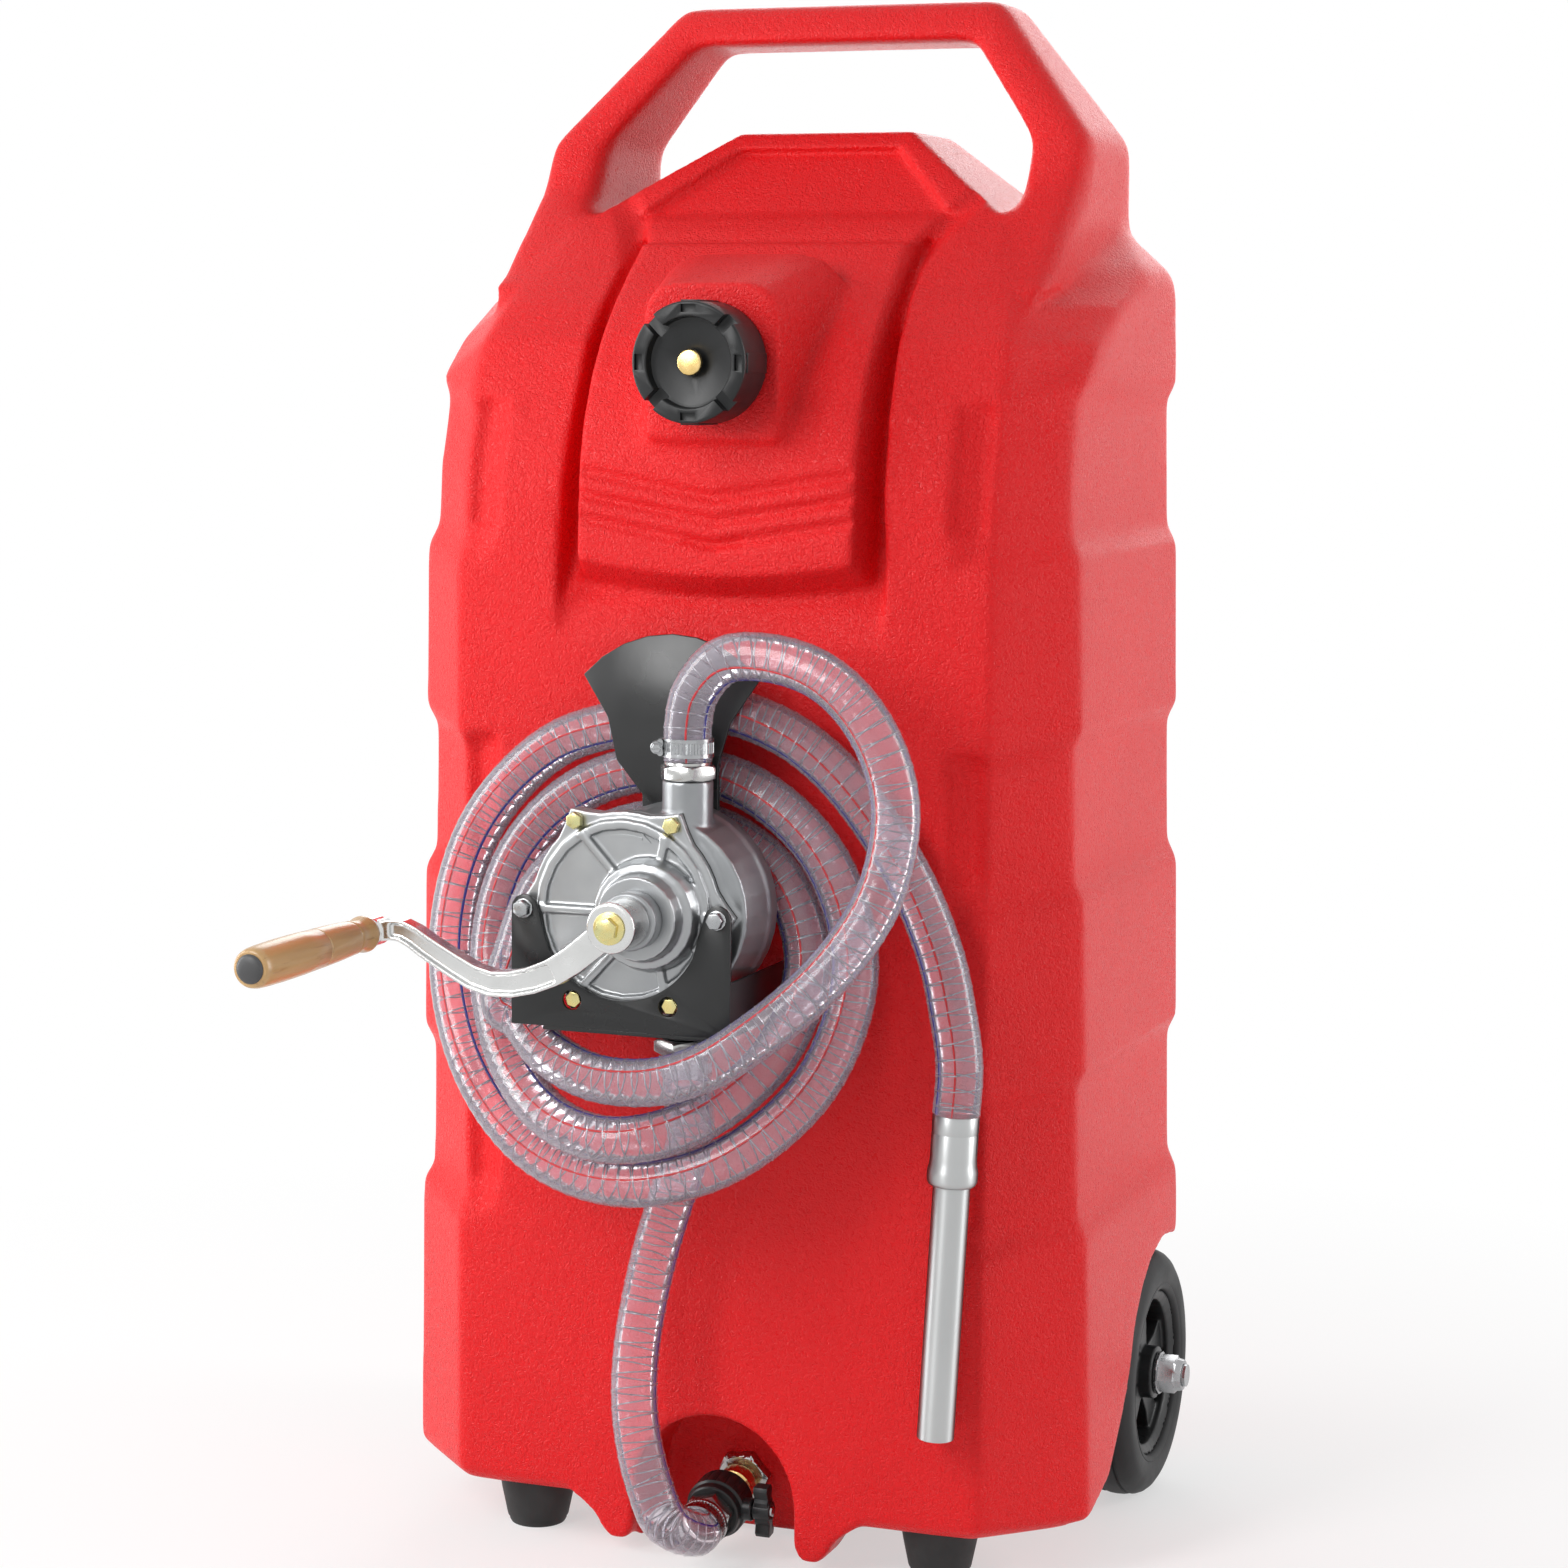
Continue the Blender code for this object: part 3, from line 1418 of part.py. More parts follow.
def coil_points():
    """The turns of the hose, clockwise from the left of the pump, through one station each quarter turn."""
    stations = [(r, y, 0.0) for r, y in zip(coil_reach, coil_depth)]
    curve = smooth_path(stations, coil_steps // 4)
    points = []
    for i, station in enumerate(curve):
        t = 2 * math.pi * i / coil_steps
        points.append(
            Vector((coil_x - station.x * math.cos(t), -station.y, coil_z + station.x * math.sin(t)))
        )
    return points


def straight_end(points, length, at_start, along=None):
    """Makes the first or last stretch straight, so that it meets its neighbour squarely."""
    ordered = points if at_start else points[::-1]
    near = ordered[0]
    if along is None:
        along = (ordered[1] - near).normalized()
    rest = [p for p in ordered[1:] if (p - near).length > 1.5 * length]
    ordered = [near, near + along * length] + rest
    return ordered if at_start else ordered[::-1]


def least_gap(points, radius):
    """The smallest space between two stretches of one tube that aren't neighbours."""
    least = 1.0
    fine = []
    for a, b in zip(points, points[1:]):
        for i in range(4):
            fine.append(a.lerp(b, i / 4))
    for i, a in enumerate(fine):
        for b in fine[i + 24 :]:
            least = min(least, (a - b).length - 2 * radius)
    return least


lead_route = [
    (0.0, 0.000, 0.000),
    (0.0, 0.000, 0.024),
    (0.006, -0.001, 0.046),
    (0.026, -0.004, 0.066),
    (0.057, -0.006, 0.069),
    (0.090, -0.009, 0.061),
    (0.116, -0.012, 0.043),
    (0.136, -0.015, 0.016),
    (0.147, -0.018, -0.016),
    (0.147, -0.022, -0.048),
    (0.139, -0.027, -0.080),
    (0.121, -0.034, -0.112),
    (0.097, -0.041, -0.140),
    (0.067, -0.0455, -0.166),
    (0.033, -0.0455, -0.189),
    (-0.006, -0.041, -0.203),
    (-0.050, -0.033, -0.205),
    (-0.089, -0.019, -0.194),
    (-0.115, -0.004, -0.176),
]
tail_route = [
    (0.033, -0.1803, 0.581),
    (0.070, -0.1803, 0.564),
    (0.105, -0.1805, 0.533),
    (0.140, -0.181, 0.485),
    (0.163, -0.182, 0.436),
    (0.1735, -0.183, 0.395),
]
suction_route = [
    (0.008, -0.2310, 0.338),
    (0.006, -0.2200, 0.320),
    (0.002, -0.2110, 0.302),
    (-0.006, -0.205, 0.284),
    (-0.014, -0.203, 0.262),
    (-0.025, -0.203, 0.226),
    (-0.033, -0.204, 0.190),
    (-0.036, -0.210, 0.157),
    (-0.034, -0.218, 0.126),
    (-0.027, -0.226, 0.098),
    (-0.017, -0.231, 0.072),
    (-0.008, -0.226, 0.048),
]
spout_x = 0.177
spout_y = 0.184
ferrule_top = 0.330


def valve_point(along):
    t = math.radians(valve_tilt)
    return Vector((0.0, recess_wall_y - along * math.cos(t), valve_z - along * math.sin(t)))


def tail_hose_start():
    return valve_start + valve_length + face_gap + tail_hex + 0.002


def make_hoses(frame, clear):
    port = Vector((port_x, -port_y, outlet_hose_start()))
    coil = coil_points()
    first = (coil[1] - coil[0]).normalized()
    lead = [port + Vector(p) for p in lead_route]
    lead.append(coil[0] - first * 2 * hose_radius)
    lead.append(coil[0] - first * face_gap)
    path = straight_end(even_path(lead, 0.024), 0.02, True, Vector((0.0, 0.0, 1.0)))
    tube("hose_lead", straight_end(path, hose_radius, False, -first), hose_radius, clear, frame, 2)

    coil = straight_end(straight_end(coil, 2 * hose_radius, True), 2 * hose_radius, False)
    print(f"hose_coil: least gap between its turns {1000 * least_gap(coil, hose_radius):.2f} mm")
    tube("hose_coil", coil, hose_radius, clear, frame, 1)

    last = (coil[-1] - coil[-2]).normalized()
    tail = [coil[-1] + last * face_gap, coil[-1] + last * 2 * hose_radius]
    tail += [Vector(p) for p in tail_route]
    end = Vector((spout_x, -spout_y, ferrule_top + face_gap))
    up = spout_direction()
    tail += [end - up * 2 * hose_radius, end]
    path = straight_end(even_path(tail, 0.026), hose_radius, True, last)
    tube("hose_tail", straight_end(path, hose_radius, False, -up), hose_radius, clear, frame, 2)

    down = Vector((0.0, 0.0, -1.0))
    inlet = Vector((port_x, -port_y, inlet_hose_start()))
    out = (valve_point(1.0) - valve_point(0.0)).normalized()
    barb = valve_point(tail_hose_start())
    suction = [inlet, inlet + down * 0.9 * hose_radius]
    suction += [Vector(p) for p in suction_route]
    suction += [barb + out * 1.2 * hose_radius, barb + out * face_gap]
    path = straight_end(even_path(suction, 0.018), 0.9 * hose_radius, True, down)
    tube("suction_hose", straight_end(path, 1.2 * hose_radius, False, out), hose_radius, clear, frame, 2)


def spout_direction():
    t = math.radians(spout_tilt)
    return Vector((-math.sin(t), 0.0, -math.cos(t)))


def make_spout(frame, nickel):
    """The ferrule and the delivery tube, hanging in line from the end of the hose."""
    top = Vector((spout_x, -spout_y, ferrule_top))
    matrix = Matrix.Translation(top) @ (-spout_direction()).to_track_quat("Z", "Y").to_matrix().to_4x4()
    low = -ferrule_length
    ferrule = [
        (spout_radius + face_gap, 0.0),
        (ferrule_radius, 0.0),
        (ferrule_radius, low + 0.018),
        (ferrule_radius + 0.0013, low + 0.013),
        (ferrule_radius + 0.0013, low + 0.004),
        (spout_radius + 0.0028, low),
        (spout_radius + face_gap, low),
    ]
    collar = lathe(ferrule, "Z", steps=20)
    bmesh.ops.transform(collar, matrix=matrix, verts=collar.verts)
    solid("spout_ferrule", collar, nickel, frame)
    pipe = ring(spout_radius, spout_bore, "Z", low - spout_length, -0.004, steps=20)
    bmesh.ops.transform(pipe, matrix=matrix, verts=pipe.verts)
    solid("spout_tube", pipe, nickel, frame)


# Bottom valve, built along -Y from the recess wall in its own tilted frame


def make_valve(line, spindle, nickel, brass, black, white, steel):
    nut = solid(
        "tank_outlet_nut",
        hexagon(nut_flats, "Y", -nut_length - face_gap, -face_gap, start=8),
        nickel,
        line,
    )
    cut(nut, cylinder(nipple_radius + face_gap, "Y", -0.03, 0.01, steps=20), line)
    nipple_end = -valve_start + 0.006
    nipple = [
        (valve_bore, nipple_inside),
        (nipple_radius, nipple_inside),
        (nipple_radius, -nut_length - 0.004),
        (nipple_radius + 0.0025, -nut_length - 0.0055),
        (nipple_radius + 0.0025, -valve_start + 0.012),
        (nipple_radius, -valve_start + 0.010),
        (nipple_radius, nipple_end - 0.002),
        (valve_bore, nipple_end - 0.002),
    ]
    solid("valve_nipple", lathe(nipple, "Y", steps=20), brass, line)

    start = -valve_start
    end = -valve_start - valve_length
    middle = (start + end) / 2
    body = [
        (nipple_radius + face_gap, nipple_end),
        (nipple_radius + 0.004, nipple_end),
        (valve_radius - 0.003, start - 0.001),
        (valve_radius, start - 0.004),
        (valve_radius, end + 0.004),
        (valve_radius - 0.003, end),
        (valve_bore, end),
        (valve_bore, end + 0.004),
        (ball_radius + 0.0006, end + 0.004),
        (ball_radius + 0.0006, nipple_end - 0.0025),
        (nipple_radius + face_gap, nipple_end - 0.0025),
    ]
    valve = solid("valve_body", lathe(body, "Y", steps=28), black, line)
    neck = prism(circle(0.0075, small_steps, (middle, 0.0)), "X", valve_radius - 0.006, valve_radius + 0.005)
    fuse(valve, neck, line)
    hole = prism(circle(stem_radius + face_gap, 12, (middle, 0.0)), "X", 0.004, 0.04)
    cut(valve, hole, line)

    ball_middle = middle
    ball = bmesh.new()
    bmesh.ops.create_uvsphere(ball, u_segments=16, v_segments=10, radius=ball_radius - 0.0006)
    bmesh.ops.translate(ball, vec=(0, ball_middle, 0), verts=ball.verts)
    origin = (0.0, middle, 0.0)
    ball_obj = solid("valve_ball", ball, steel, spindle, origin)
    cut(
        ball_obj,
        cylinder(valve_bore - 0.001, "Z", -0.03, 0.03, (0, ball_middle), small_steps),
        spindle,
        origin,
    )
    slot = box(
        (ball_radius - 0.0035, ball_middle - 0.0012, -0.03),
        (ball_radius + 0.01, ball_middle + 0.0012, 0.03),
    )
    cut(ball_obj, slot, spindle, origin)
    shank = prism(circle(stem_radius, 12, (middle, 0.0)), "X", ball_radius + 0.0004, stem_reach + 0.0075)
    stem = solid("valve_stem", shank, steel, spindle, origin)
    flats = box(
        (ball_radius - 0.0028, middle - 0.0009, -0.0030), (ball_radius + 0.003, middle + 0.0009, 0.0030)
    )
    fuse(stem, flats, spindle, origin)

    half = handle_span / 2
    depth = handle_depth / 2
    wing = [
        (0.0052, -0.0070),
        (0.0035, -0.0095),
        (depth, -half + 0.003),
        (depth - 0.0015, -half),
        (-depth + 0.0015, -half),
        (-depth, -half + 0.003),
        (-0.0035, -0.0095),
        (-0.0052, -0.0070),
    ]
    outline = wing + [(-a, -b) for a, b in wing]
    outline = [(middle + a, b) for a, b in outline]
    low = stem_reach - 0.0045
    handle = solid("valve_handle", prism(outline, "X", low, low + handle_thickness), black, spindle, origin)
    fuse(
        handle,
        prism(circle(0.0068, small_steps, (middle, 0.0)), "X", low - 0.001, low + handle_thickness + 0.001),
        spindle,
        origin,
    )
    cut(handle, prism(circle(stem_radius + face_gap, 12, (middle, 0.0)), "X", 0.0, 0.06), spindle, origin)

    base = end - face_gap
    tail = solid("valve_barb", hexagon(tail_hex_flats, "Y", base - tail_hex, base, start=14), nickel, line)
    fuse(
        tail,
        cylinder(0.0135, "Y", base - tail_hex - 0.002 + face_gap, base - tail_hex + 0.001, steps=24),
        line,
    )
    cut(tail, cylinder(valve_bore, "Y", base - 0.03, base + 0.01, steps=small_steps), line)
    clamp_low = -tail_hose_start() - 0.001 - clamp_width
    hose_clamp("valve_clamp", (0.0, 0.0), "Y", clamp_low, steel, line, 205)


# Wheels, axle and feet


def make_wheel(side, name, pivot, tyre_mat, rim_mat):
    centre = (wheel_y, wheel_radius)
    outer = side * wheel_outer_x
    origin = (outer, wheel_y, wheel_radius)

    def across(distance):
        return outer - side * distance

    inner = rim_radius + face_gap
    half = [
        (inner, 0.004),
        (inner + 0.004, 0.0015),
        (wheel_radius - 0.016, 0.0),
        (wheel_radius - 0.0055, 0.0040),
        (wheel_radius, 0.0130),
    ]
    tyre = [(r, across(d)) for r, d in half] + [(r, across(wheel_width - d)) for r, d in reversed(half)]
    solid("tyre_" + name, lathe(tyre, "X", centre, wheel_steps), tyre_mat, pivot, origin)

    barrel = [
        (rim_radius - rim_wall, across(0.008)),
        (rim_radius, across(0.0045)),
        (rim_radius, across(wheel_width - 0.0045)),
        (rim_radius - rim_wall, across(wheel_width - 0.008)),
    ]
    rim = solid("rim_" + name, lathe(barrel, "X", centre, wheel_steps), rim_mat, pivot, origin)
    hub_ends = sorted((across(0.002), side * (well_inner_x + 0.0006)))
    hub = ring(hub_radius, axle_radius + running_gap, "X", *hub_ends, centre, 20)
    fuse(rim, hub, pivot, origin)
    low, high = sorted((across(0.013), across(wheel_width - 0.013)))
    for k in range(spoke_count):
        spoke = [
            (-spoke_width * 0.62, hub_radius - 0.003),
            (spoke_width * 0.62, hub_radius - 0.003),
            (spoke_width / 2, 0.62 * rim_radius),
            (spoke_width * 0.75, rim_radius - rim_wall + 0.002),
            (-spoke_width * 0.75, rim_radius - rim_wall + 0.002),
            (-spoke_width / 2, 0.62 * rim_radius),
        ]
        blade = prism([(wheel_y + a, wheel_radius + b) for a, b in spoke], "X", low, high)
        fuse(rim, turned(blade, 360 * k / spoke_count, "X", (0, wheel_y, wheel_radius)), pivot, origin)


def make_axle(frame, steel, nickel):
    centre = (wheel_y, wheel_radius)
    nut_in = wheel_outer_x - 0.002 + 0.0006
    end = nut_in + axle_nut_length + 0.0025
    solid("axle", cylinder(axle_radius, "X", -end, end, centre, 20), steel, frame)
    for side, name in ((-1, "left"), (1, "right")):
        solid("axle_nut_" + name, nut_body(side, nut_in, centre), nickel, frame)


def nut_body(side, start, centre):
    """A lock nut: a round flange, a chamfered hexagon and a round collar."""
    across = axle_nut_flats / math.sqrt(3)
    hole = axle_radius + face_gap
    rows = []
    for radius, along, shape in (
        (hole, 0.0, "round"),
        (axle_washer_radius, 0.0, "round"),
        (axle_washer_radius, axle_washer_thickness, "round"),
        (across, axle_washer_thickness + 0.0002, "hex"),
        (across, axle_nut_length - 0.0055, "hex"),
        (across * 0.86, axle_nut_length - 0.0042, "round"),
        (across * 0.80, axle_nut_length, "round"),
        (hole, axle_nut_length, "round"),
    ):
        count = 12
        points = []
        for i in range(count):
            t = 2 * math.pi * i / count + math.radians(9)
            r = radius * (math.cos(math.pi / 6) if shape == "hex" and i % 2 else 1.0)
            place = (centre[0] + r * math.cos(t), centre[1] + r * math.sin(t))
            points.append(on_axis("X", *place, side * (start + along)))
        rows.append(points)
    bm = bmesh.new()
    loops = [[bm.verts.new(p) for p in row] for row in rows]
    for low, high in zip(loops, loops[1:] + loops[:1]):
        for i in range(len(low)):
            j = (i + 1) % len(low)
            bm.faces.new((low[i], low[j], high[j], high[i]))
    return bm


def make_feet(frame, rubber):
    """Round rubber feet, each held by its own stud in the tank's base."""
    for side, name in ((-1, "left"), (1, "right")):
        foot = [
            (0.0, tank_base + 0.0034),
            (foot_stud_radius, tank_base + 0.0034),
            (foot_stud_radius, tank_base - face_gap),
            (foot_top_radius, tank_base - face_gap),
            (foot_top_radius - 0.0010, 0.024),
            (foot_bottom_radius + 0.0035, 0.006),
            (foot_bottom_radius + 0.0015, 0.0015),
            (foot_bottom_radius, 0.0),
            (foot_bottom_radius - 0.007, 0.0),
            (foot_bottom_radius - 0.009, 0.004),
            (0.0, 0.004),
        ]
        solid("foot_" + name, lathe(foot, "Z", (side * foot_x, -foot_y), 20), rubber, frame)


def main():
    clear_scene()
    red = make_material("red_polyethylene", (0.62, 0.022, 0.028), 0.42)
    black = make_material("black_plastic", (0.020, 0.021, 0.022), 0.42)
    dark = make_material("dark_grey_plastic", (0.050, 0.055, 0.060), 0.45)
    rubber = make_material("black_rubber", (0.016, 0.016, 0.017), 0.75)
    tyre = make_material("tyre_rubber", (0.030, 0.030, 0.031), 0.70)
    cast = make_material("cast_aluminium", (0.52, 0.53, 0.54), 0.38, 1.0)
    steel = make_material("zinc_plated_steel", (0.62, 0.63, 0.65), 0.28, 1.0)
    nickel = make_material("nickel_plate", (0.70, 0.70, 0.70), 0.20, 1.0)
    zinc = make_material("yellow_zinc", (0.66, 0.58, 0.30), 0.30, 1.0)
    brass = make_material("brass", (0.72, 0.52, 0.22), 0.25, 1.0)
    bronze = make_material("bronze", (0.55, 0.38, 0.20), 0.40, 1.0)
    sheet_black = make_material("black_painted_sheet", (0.014, 0.015, 0.016), 0.30, 0.0)
    clear = make_material("clear_hose", (0.74, 0.68, 0.74), 0.15)
    wood = make_material("light_wood", (0.72, 0.47, 0.22), 0.50)
    gasket = make_material("gasket_paper", (0.16, 0.15, 0.13), 0.90)
    white = make_material("white_seat", (0.86, 0.86, 0.84), 0.50)

    frame = make_pivot("caddy", (0.0, origin_shift, 0.0))
    crank_axis = make_pivot("crank_pivot", (rotor_x, -crank_front, pump_z), frame)
    grip_axis = make_pivot("grip_pivot", (grip_x, -grip_back, crank_z), frame)
    lift = make_pivot("cap_lift", (0.0, -boss_face - neck_length, filler_z), frame)
    cap_axis = make_pivot("cap_pivot", (0.0, -boss_face - cap_gap - cap_height, filler_z), frame)
    line = make_pivot("valve_line", (0.0, recess_wall_y, valve_z), frame, valve_tilt)
    spindle = make_pivot("valve_spindle", (0.0, -valve_start - valve_length / 2, 0.0), line)
    wheels = {}
    for side, name in ((-1, "left"), (1, "right")):
        place = (side * wheel_outer_x, wheel_y, wheel_radius)
        wheels[name] = make_pivot("wheel_pivot_" + name, place, frame)

    make_tank(frame, red)
    make_cap(frame, lift, cap_axis, black, rubber, brass, steel)
    make_pump(frame, crank_axis, cast, gasket, steel, bronze, gasket)
    make_crank(crank_axis, grip_axis, cast, zinc, wood, steel, dark)
    make_bracket(frame, sheet_black)
    make_hanger(frame, sheet_black)
    make_fasteners(frame, zinc, steel)
    make_fittings(frame, nickel, steel)
    make_hoses(frame, clear)
    make_spout(frame, nickel)
    make_valve(line, spindle, nickel, brass, black, white, steel)
    for side, name in ((-1, "left"), (1, "right")):
        make_wheel(side, name, wheels[name], tyre, black)
    make_axle(frame, steel, nickel)
    make_feet(frame, rubber)


main()
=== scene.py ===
"""Looks of the wheeled fuel caddy: materials, moulded and cast surfaces, hoses, lights and camera.

Everything is in metres. The part's own source measures Y from the middle of the tank's depth; at()
turns such a place into the row frame. The profile of a turned piece is a list of (radius, height).
"""

import math

import bmesh
import bpy
import numpy as np
from mathutils import Matrix, Vector
import json


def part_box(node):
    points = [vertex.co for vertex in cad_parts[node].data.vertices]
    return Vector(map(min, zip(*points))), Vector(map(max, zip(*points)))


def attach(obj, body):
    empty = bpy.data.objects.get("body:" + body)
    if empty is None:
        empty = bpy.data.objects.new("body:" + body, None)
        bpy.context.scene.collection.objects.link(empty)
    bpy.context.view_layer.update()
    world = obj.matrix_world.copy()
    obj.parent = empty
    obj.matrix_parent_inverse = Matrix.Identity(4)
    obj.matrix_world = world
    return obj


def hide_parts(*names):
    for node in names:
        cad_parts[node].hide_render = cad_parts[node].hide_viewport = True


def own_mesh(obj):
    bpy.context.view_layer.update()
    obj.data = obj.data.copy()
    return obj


def mm(*rows):
    """Rows of millimetres in metres."""
    return [tuple(0.001 * value for value in row) for row in rows]


# Where the tank's own frame stands in the row frame
TANK_SHIFT = 0.1415

# Camera: the photograph's lens and stand
CAMERA_PLACE = (0.8825, -2.2439, 0.8105)
CAMERA_AZIMUTH = 20.58
CAMERA_ELEVATION = 6.58
CAMERA_ROLL = 0.48
CAMERA_LENS = 83.29
CAMERA_SENSOR = 36.0

# Studio
WORLD_STRENGTH = 0.36
FLOOR_HALF = 6.0
OBJECT_MIDDLE = (0.0, 0.1, 0.55)
LAMPS = (  # name, place, aim, size, watts
    ("left", (-2.2, -0.7, 1.05), OBJECT_MIDDLE, (0.8, 1.9), 35.0),
    ("front", (-0.8, -1.8, 1.66), (0.0, 0.0, 0.88), (0.7, 1.5), 28.0),
    ("right", (2.2, 0.7, 0.95), OBJECT_MIDDLE, (0.9, 1.8), 24.0),
    ("back", (-0.6, 2.6, 1.5), OBJECT_MIDDLE, (2.0, 1.6), 24.0),
)

# Tank: its net, and the arc and lean of its front
TANK_VOXEL = 0.0026
TANK_SMOOTHING = 4
SOFT_ROUNDS = 45
TANK_TRIANGLES = 195000
FRONT_Y = -0.163
FRONT_ARC = 0.185
ARC_LOW = 0.715
ARC_HIGH = 0.853
FRONT_LEAN = 1.15

# Details pressed into the tank's front
CREST_HALF_WIDTH = 0.119
CREST_SLOPE = 1.154
CREST_SCALE = 1.527  # the length of (1, CREST_SLOPE)
CREST_DEPTH = 0.005
GROOVE_END = ((0.1035, 0.868), (0.1055, 0.89), (0.113, 0.906), (0.129, 0.923))
CHEVRON_TOP = 0.744
CHEVRON_PITCH = 0.0155
CHEVRON_FALL = 0.017
CHEVRON_HALF_WIDTH = 0.101
CHEVRON_DEPTH = 0.0046
POCKET_LOW = 0.236
POCKET_PITCH = 0.226
POCKET_DEPTH = 0.004
DETAIL_COUNT = 3

# Hoses
HOSE_RADIUS = 0.0158
FACE_GAP = 0.0003
WIRE_PITCH = 0.0102
WIRE_RADIUS = 0.00055
WIRE_DEPTH = 0.0004
WIRE_SAMPLES = 16
RIB_HEIGHT = 0.0002
HOSE_SIDES = 22
STRIPE_DEPTH = 2e-5
STRIPES = (("blue", 0.001), ("red", 0.0009))
COIL_X = -0.0285
COIL_Z = 0.421
COIL_STEPS = 24
COIL_REACH = (0.0887, 0.0888, 0.1066, 0.1084, 0.1211, 0.1251, 0.1408, 0.14, 0.1544, 0.1594)
COIL_DEPTH = (0.2255, 0.183, 0.1969, 0.2698, 0.191, 0.1815, 0.2005, 0.2548, 0.1864, 0.1802)
PORT = (0.009, -0.235, 0.5573)
INLET = (0.009, -0.235, 0.3647)
LEAD_ROUTE = mm(  # from the port
    (0, 0, 0), (0, 0, 24), (6, -1, 46), (26, -4, 66), (57, -6, 69), (90, -9, 61), (116, -12, 43),
    (136, -15, 16), (147, -18, -16), (147, -22, -48), (139, -27, -80), (121, -34, -112),
    (97, -41, -140), (67, -45.5, -166), (33, -45.5, -189), (-6, -41, -203), (-50, -33, -205),
    (-89, -19, -194), (-115, -4, -176),
)
TAIL_ROUTE = mm(
    (33, -180.3, 581), (70, -180.3, 564), (105, -180.5, 533), (140, -181, 485), (163, -182, 436),
    (173.5, -183, 395),
)
SUCTION_ROUTE = mm(
    (8, -231, 338), (6, -220, 320), (2, -211, 302), (-6, -205, 284), (-14, -203, 262),
    (-25, -203, 226), (-33, -204, 190), (-36, -210, 157), (-34, -218, 126), (-27, -226, 98),
    (-17, -231, 72), (-8, -226, 48),
)
SPOUT_TOP = (0.177, -0.184, 0.3303)
SPOUT_TILT = 3.0
FERRULE_LENGTH = 0.047
SPOUT_LENGTH = 0.17

# Bottom valve
BARB_ALONG = 0.0783
VALVE_TILT = 8.0
VALVE_WALL = (0.0, -0.098, 0.045)
VALVE_FLUTES = 18
VALVE_STEPS = 144

# Hose clamps
CLAMP_WIDTH = 0.012
CLAMP_RADIUS = 0.0166
CLAMP_SLOTS = 46

# Wheels and feet
WHEEL_X = 0.241
WHEEL_Y = 0.107
WHEEL_RADIUS = 0.089
TYRE_WIDTH = 0.044
FOOT_X = 0.149
FOOT_Y = -0.119

# Pump, its bracket and the arrow on its cover
PUMP_X = -0.025
PUMP_Z = 0.46
CHAMBER_RADIUS = 0.0524
BOLT_CIRCLE = 0.0673
EAR_RADIUS = 0.0092
CUT_OUT_RADIUS = 0.0565
BRACKET_LOW = 0.3835
BRACKET_HALF_WIDTH = 0.0765
BRACKET_FRONT = -0.2665
BRACKET_BACK = -0.2637
BRACKET_HOLE = 0.0065
ARROW_RADIUS = 0.0498
ARROW_FACE = -0.2588
ARROW_PROUD = -0.2597

# Cap and grip
CAP_FRONT = -0.2172
CAP_Z = 0.812
GRIP_END = (-0.178, -0.475, 0.446)

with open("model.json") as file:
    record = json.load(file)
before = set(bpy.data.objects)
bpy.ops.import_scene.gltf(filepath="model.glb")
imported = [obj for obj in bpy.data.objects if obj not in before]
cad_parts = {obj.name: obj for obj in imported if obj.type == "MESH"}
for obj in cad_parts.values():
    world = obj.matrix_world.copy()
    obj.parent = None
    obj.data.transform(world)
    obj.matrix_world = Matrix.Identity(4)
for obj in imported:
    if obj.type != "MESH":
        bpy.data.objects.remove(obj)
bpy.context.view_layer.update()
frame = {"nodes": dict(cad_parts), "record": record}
NODES = frame["nodes"]
RECORD = frame["record"]
BODY_OF = {node: body for body, nodes in RECORD["behaviour"]["bodies"].items() for node in nodes}


def at(x, y, z):
    return Vector((x, y + TANK_SHIFT, z))


# Materials


def feed(tree, socket, value):
    """Sets a socket to a constant, or links another node's output to it."""
    if isinstance(value, bpy.types.NodeSocket):
        tree.links.new(value, socket)
    else:
        socket.default_value = value


def add(tree, kind, settings=None, **sockets):
    """Adds a shader node; a socket's value is either a constant or another node's output."""
    made = tree.nodes.new("ShaderNode" + kind)
    for key, value in (settings or {}).items():
        setattr(made, key, value)
    for key, value in sockets.items():
        feed(tree, made.inputs[key.replace("_", " ")], value)
    return made


def calc(tree, operation, *values):
    """What a Math node makes of two or three values."""
    made = add(tree, "Math", {"operation": operation})
    for socket, value in zip(made.inputs, values):
        feed(tree, socket, value)
    return made.outputs[0]


def mixed(tree, share, one, two):
    """A mix of two shaders, of which share is the second."""
    made = add(tree, "MixShader", Fac=share)
    tree.links.new(one.outputs[0], made.inputs[1])
    tree.links.new(two.outputs[0], made.inputs[2])
    return made


def start(name, roughness=0.5, metallic=0.0, **plain):
    """A material with one Principled shader and the object's own coordinates."""
    mat = bpy.data.materials.new(name)
    mat.use_nodes = True
    tree = mat.node_tree
    shader = tree.nodes["Principled BSDF"]
    plain.update(Roughness=roughness, Metallic=metallic)
    for key, value in plain.items():
        feed(tree, shader.inputs[key.replace("_", " ")], value)
    place = add(tree, "TexCoord").outputs["Object"]
    return mat, tree, shader, place


def noise(tree, place, scale, detail=2.0, rough=0.5, warp=0.0):
    return add(
        tree, "TexNoise", Vector=place, Scale=scale, Detail=detail, Roughness=rough, Distortion=warp
    ).outputs["Fac"]


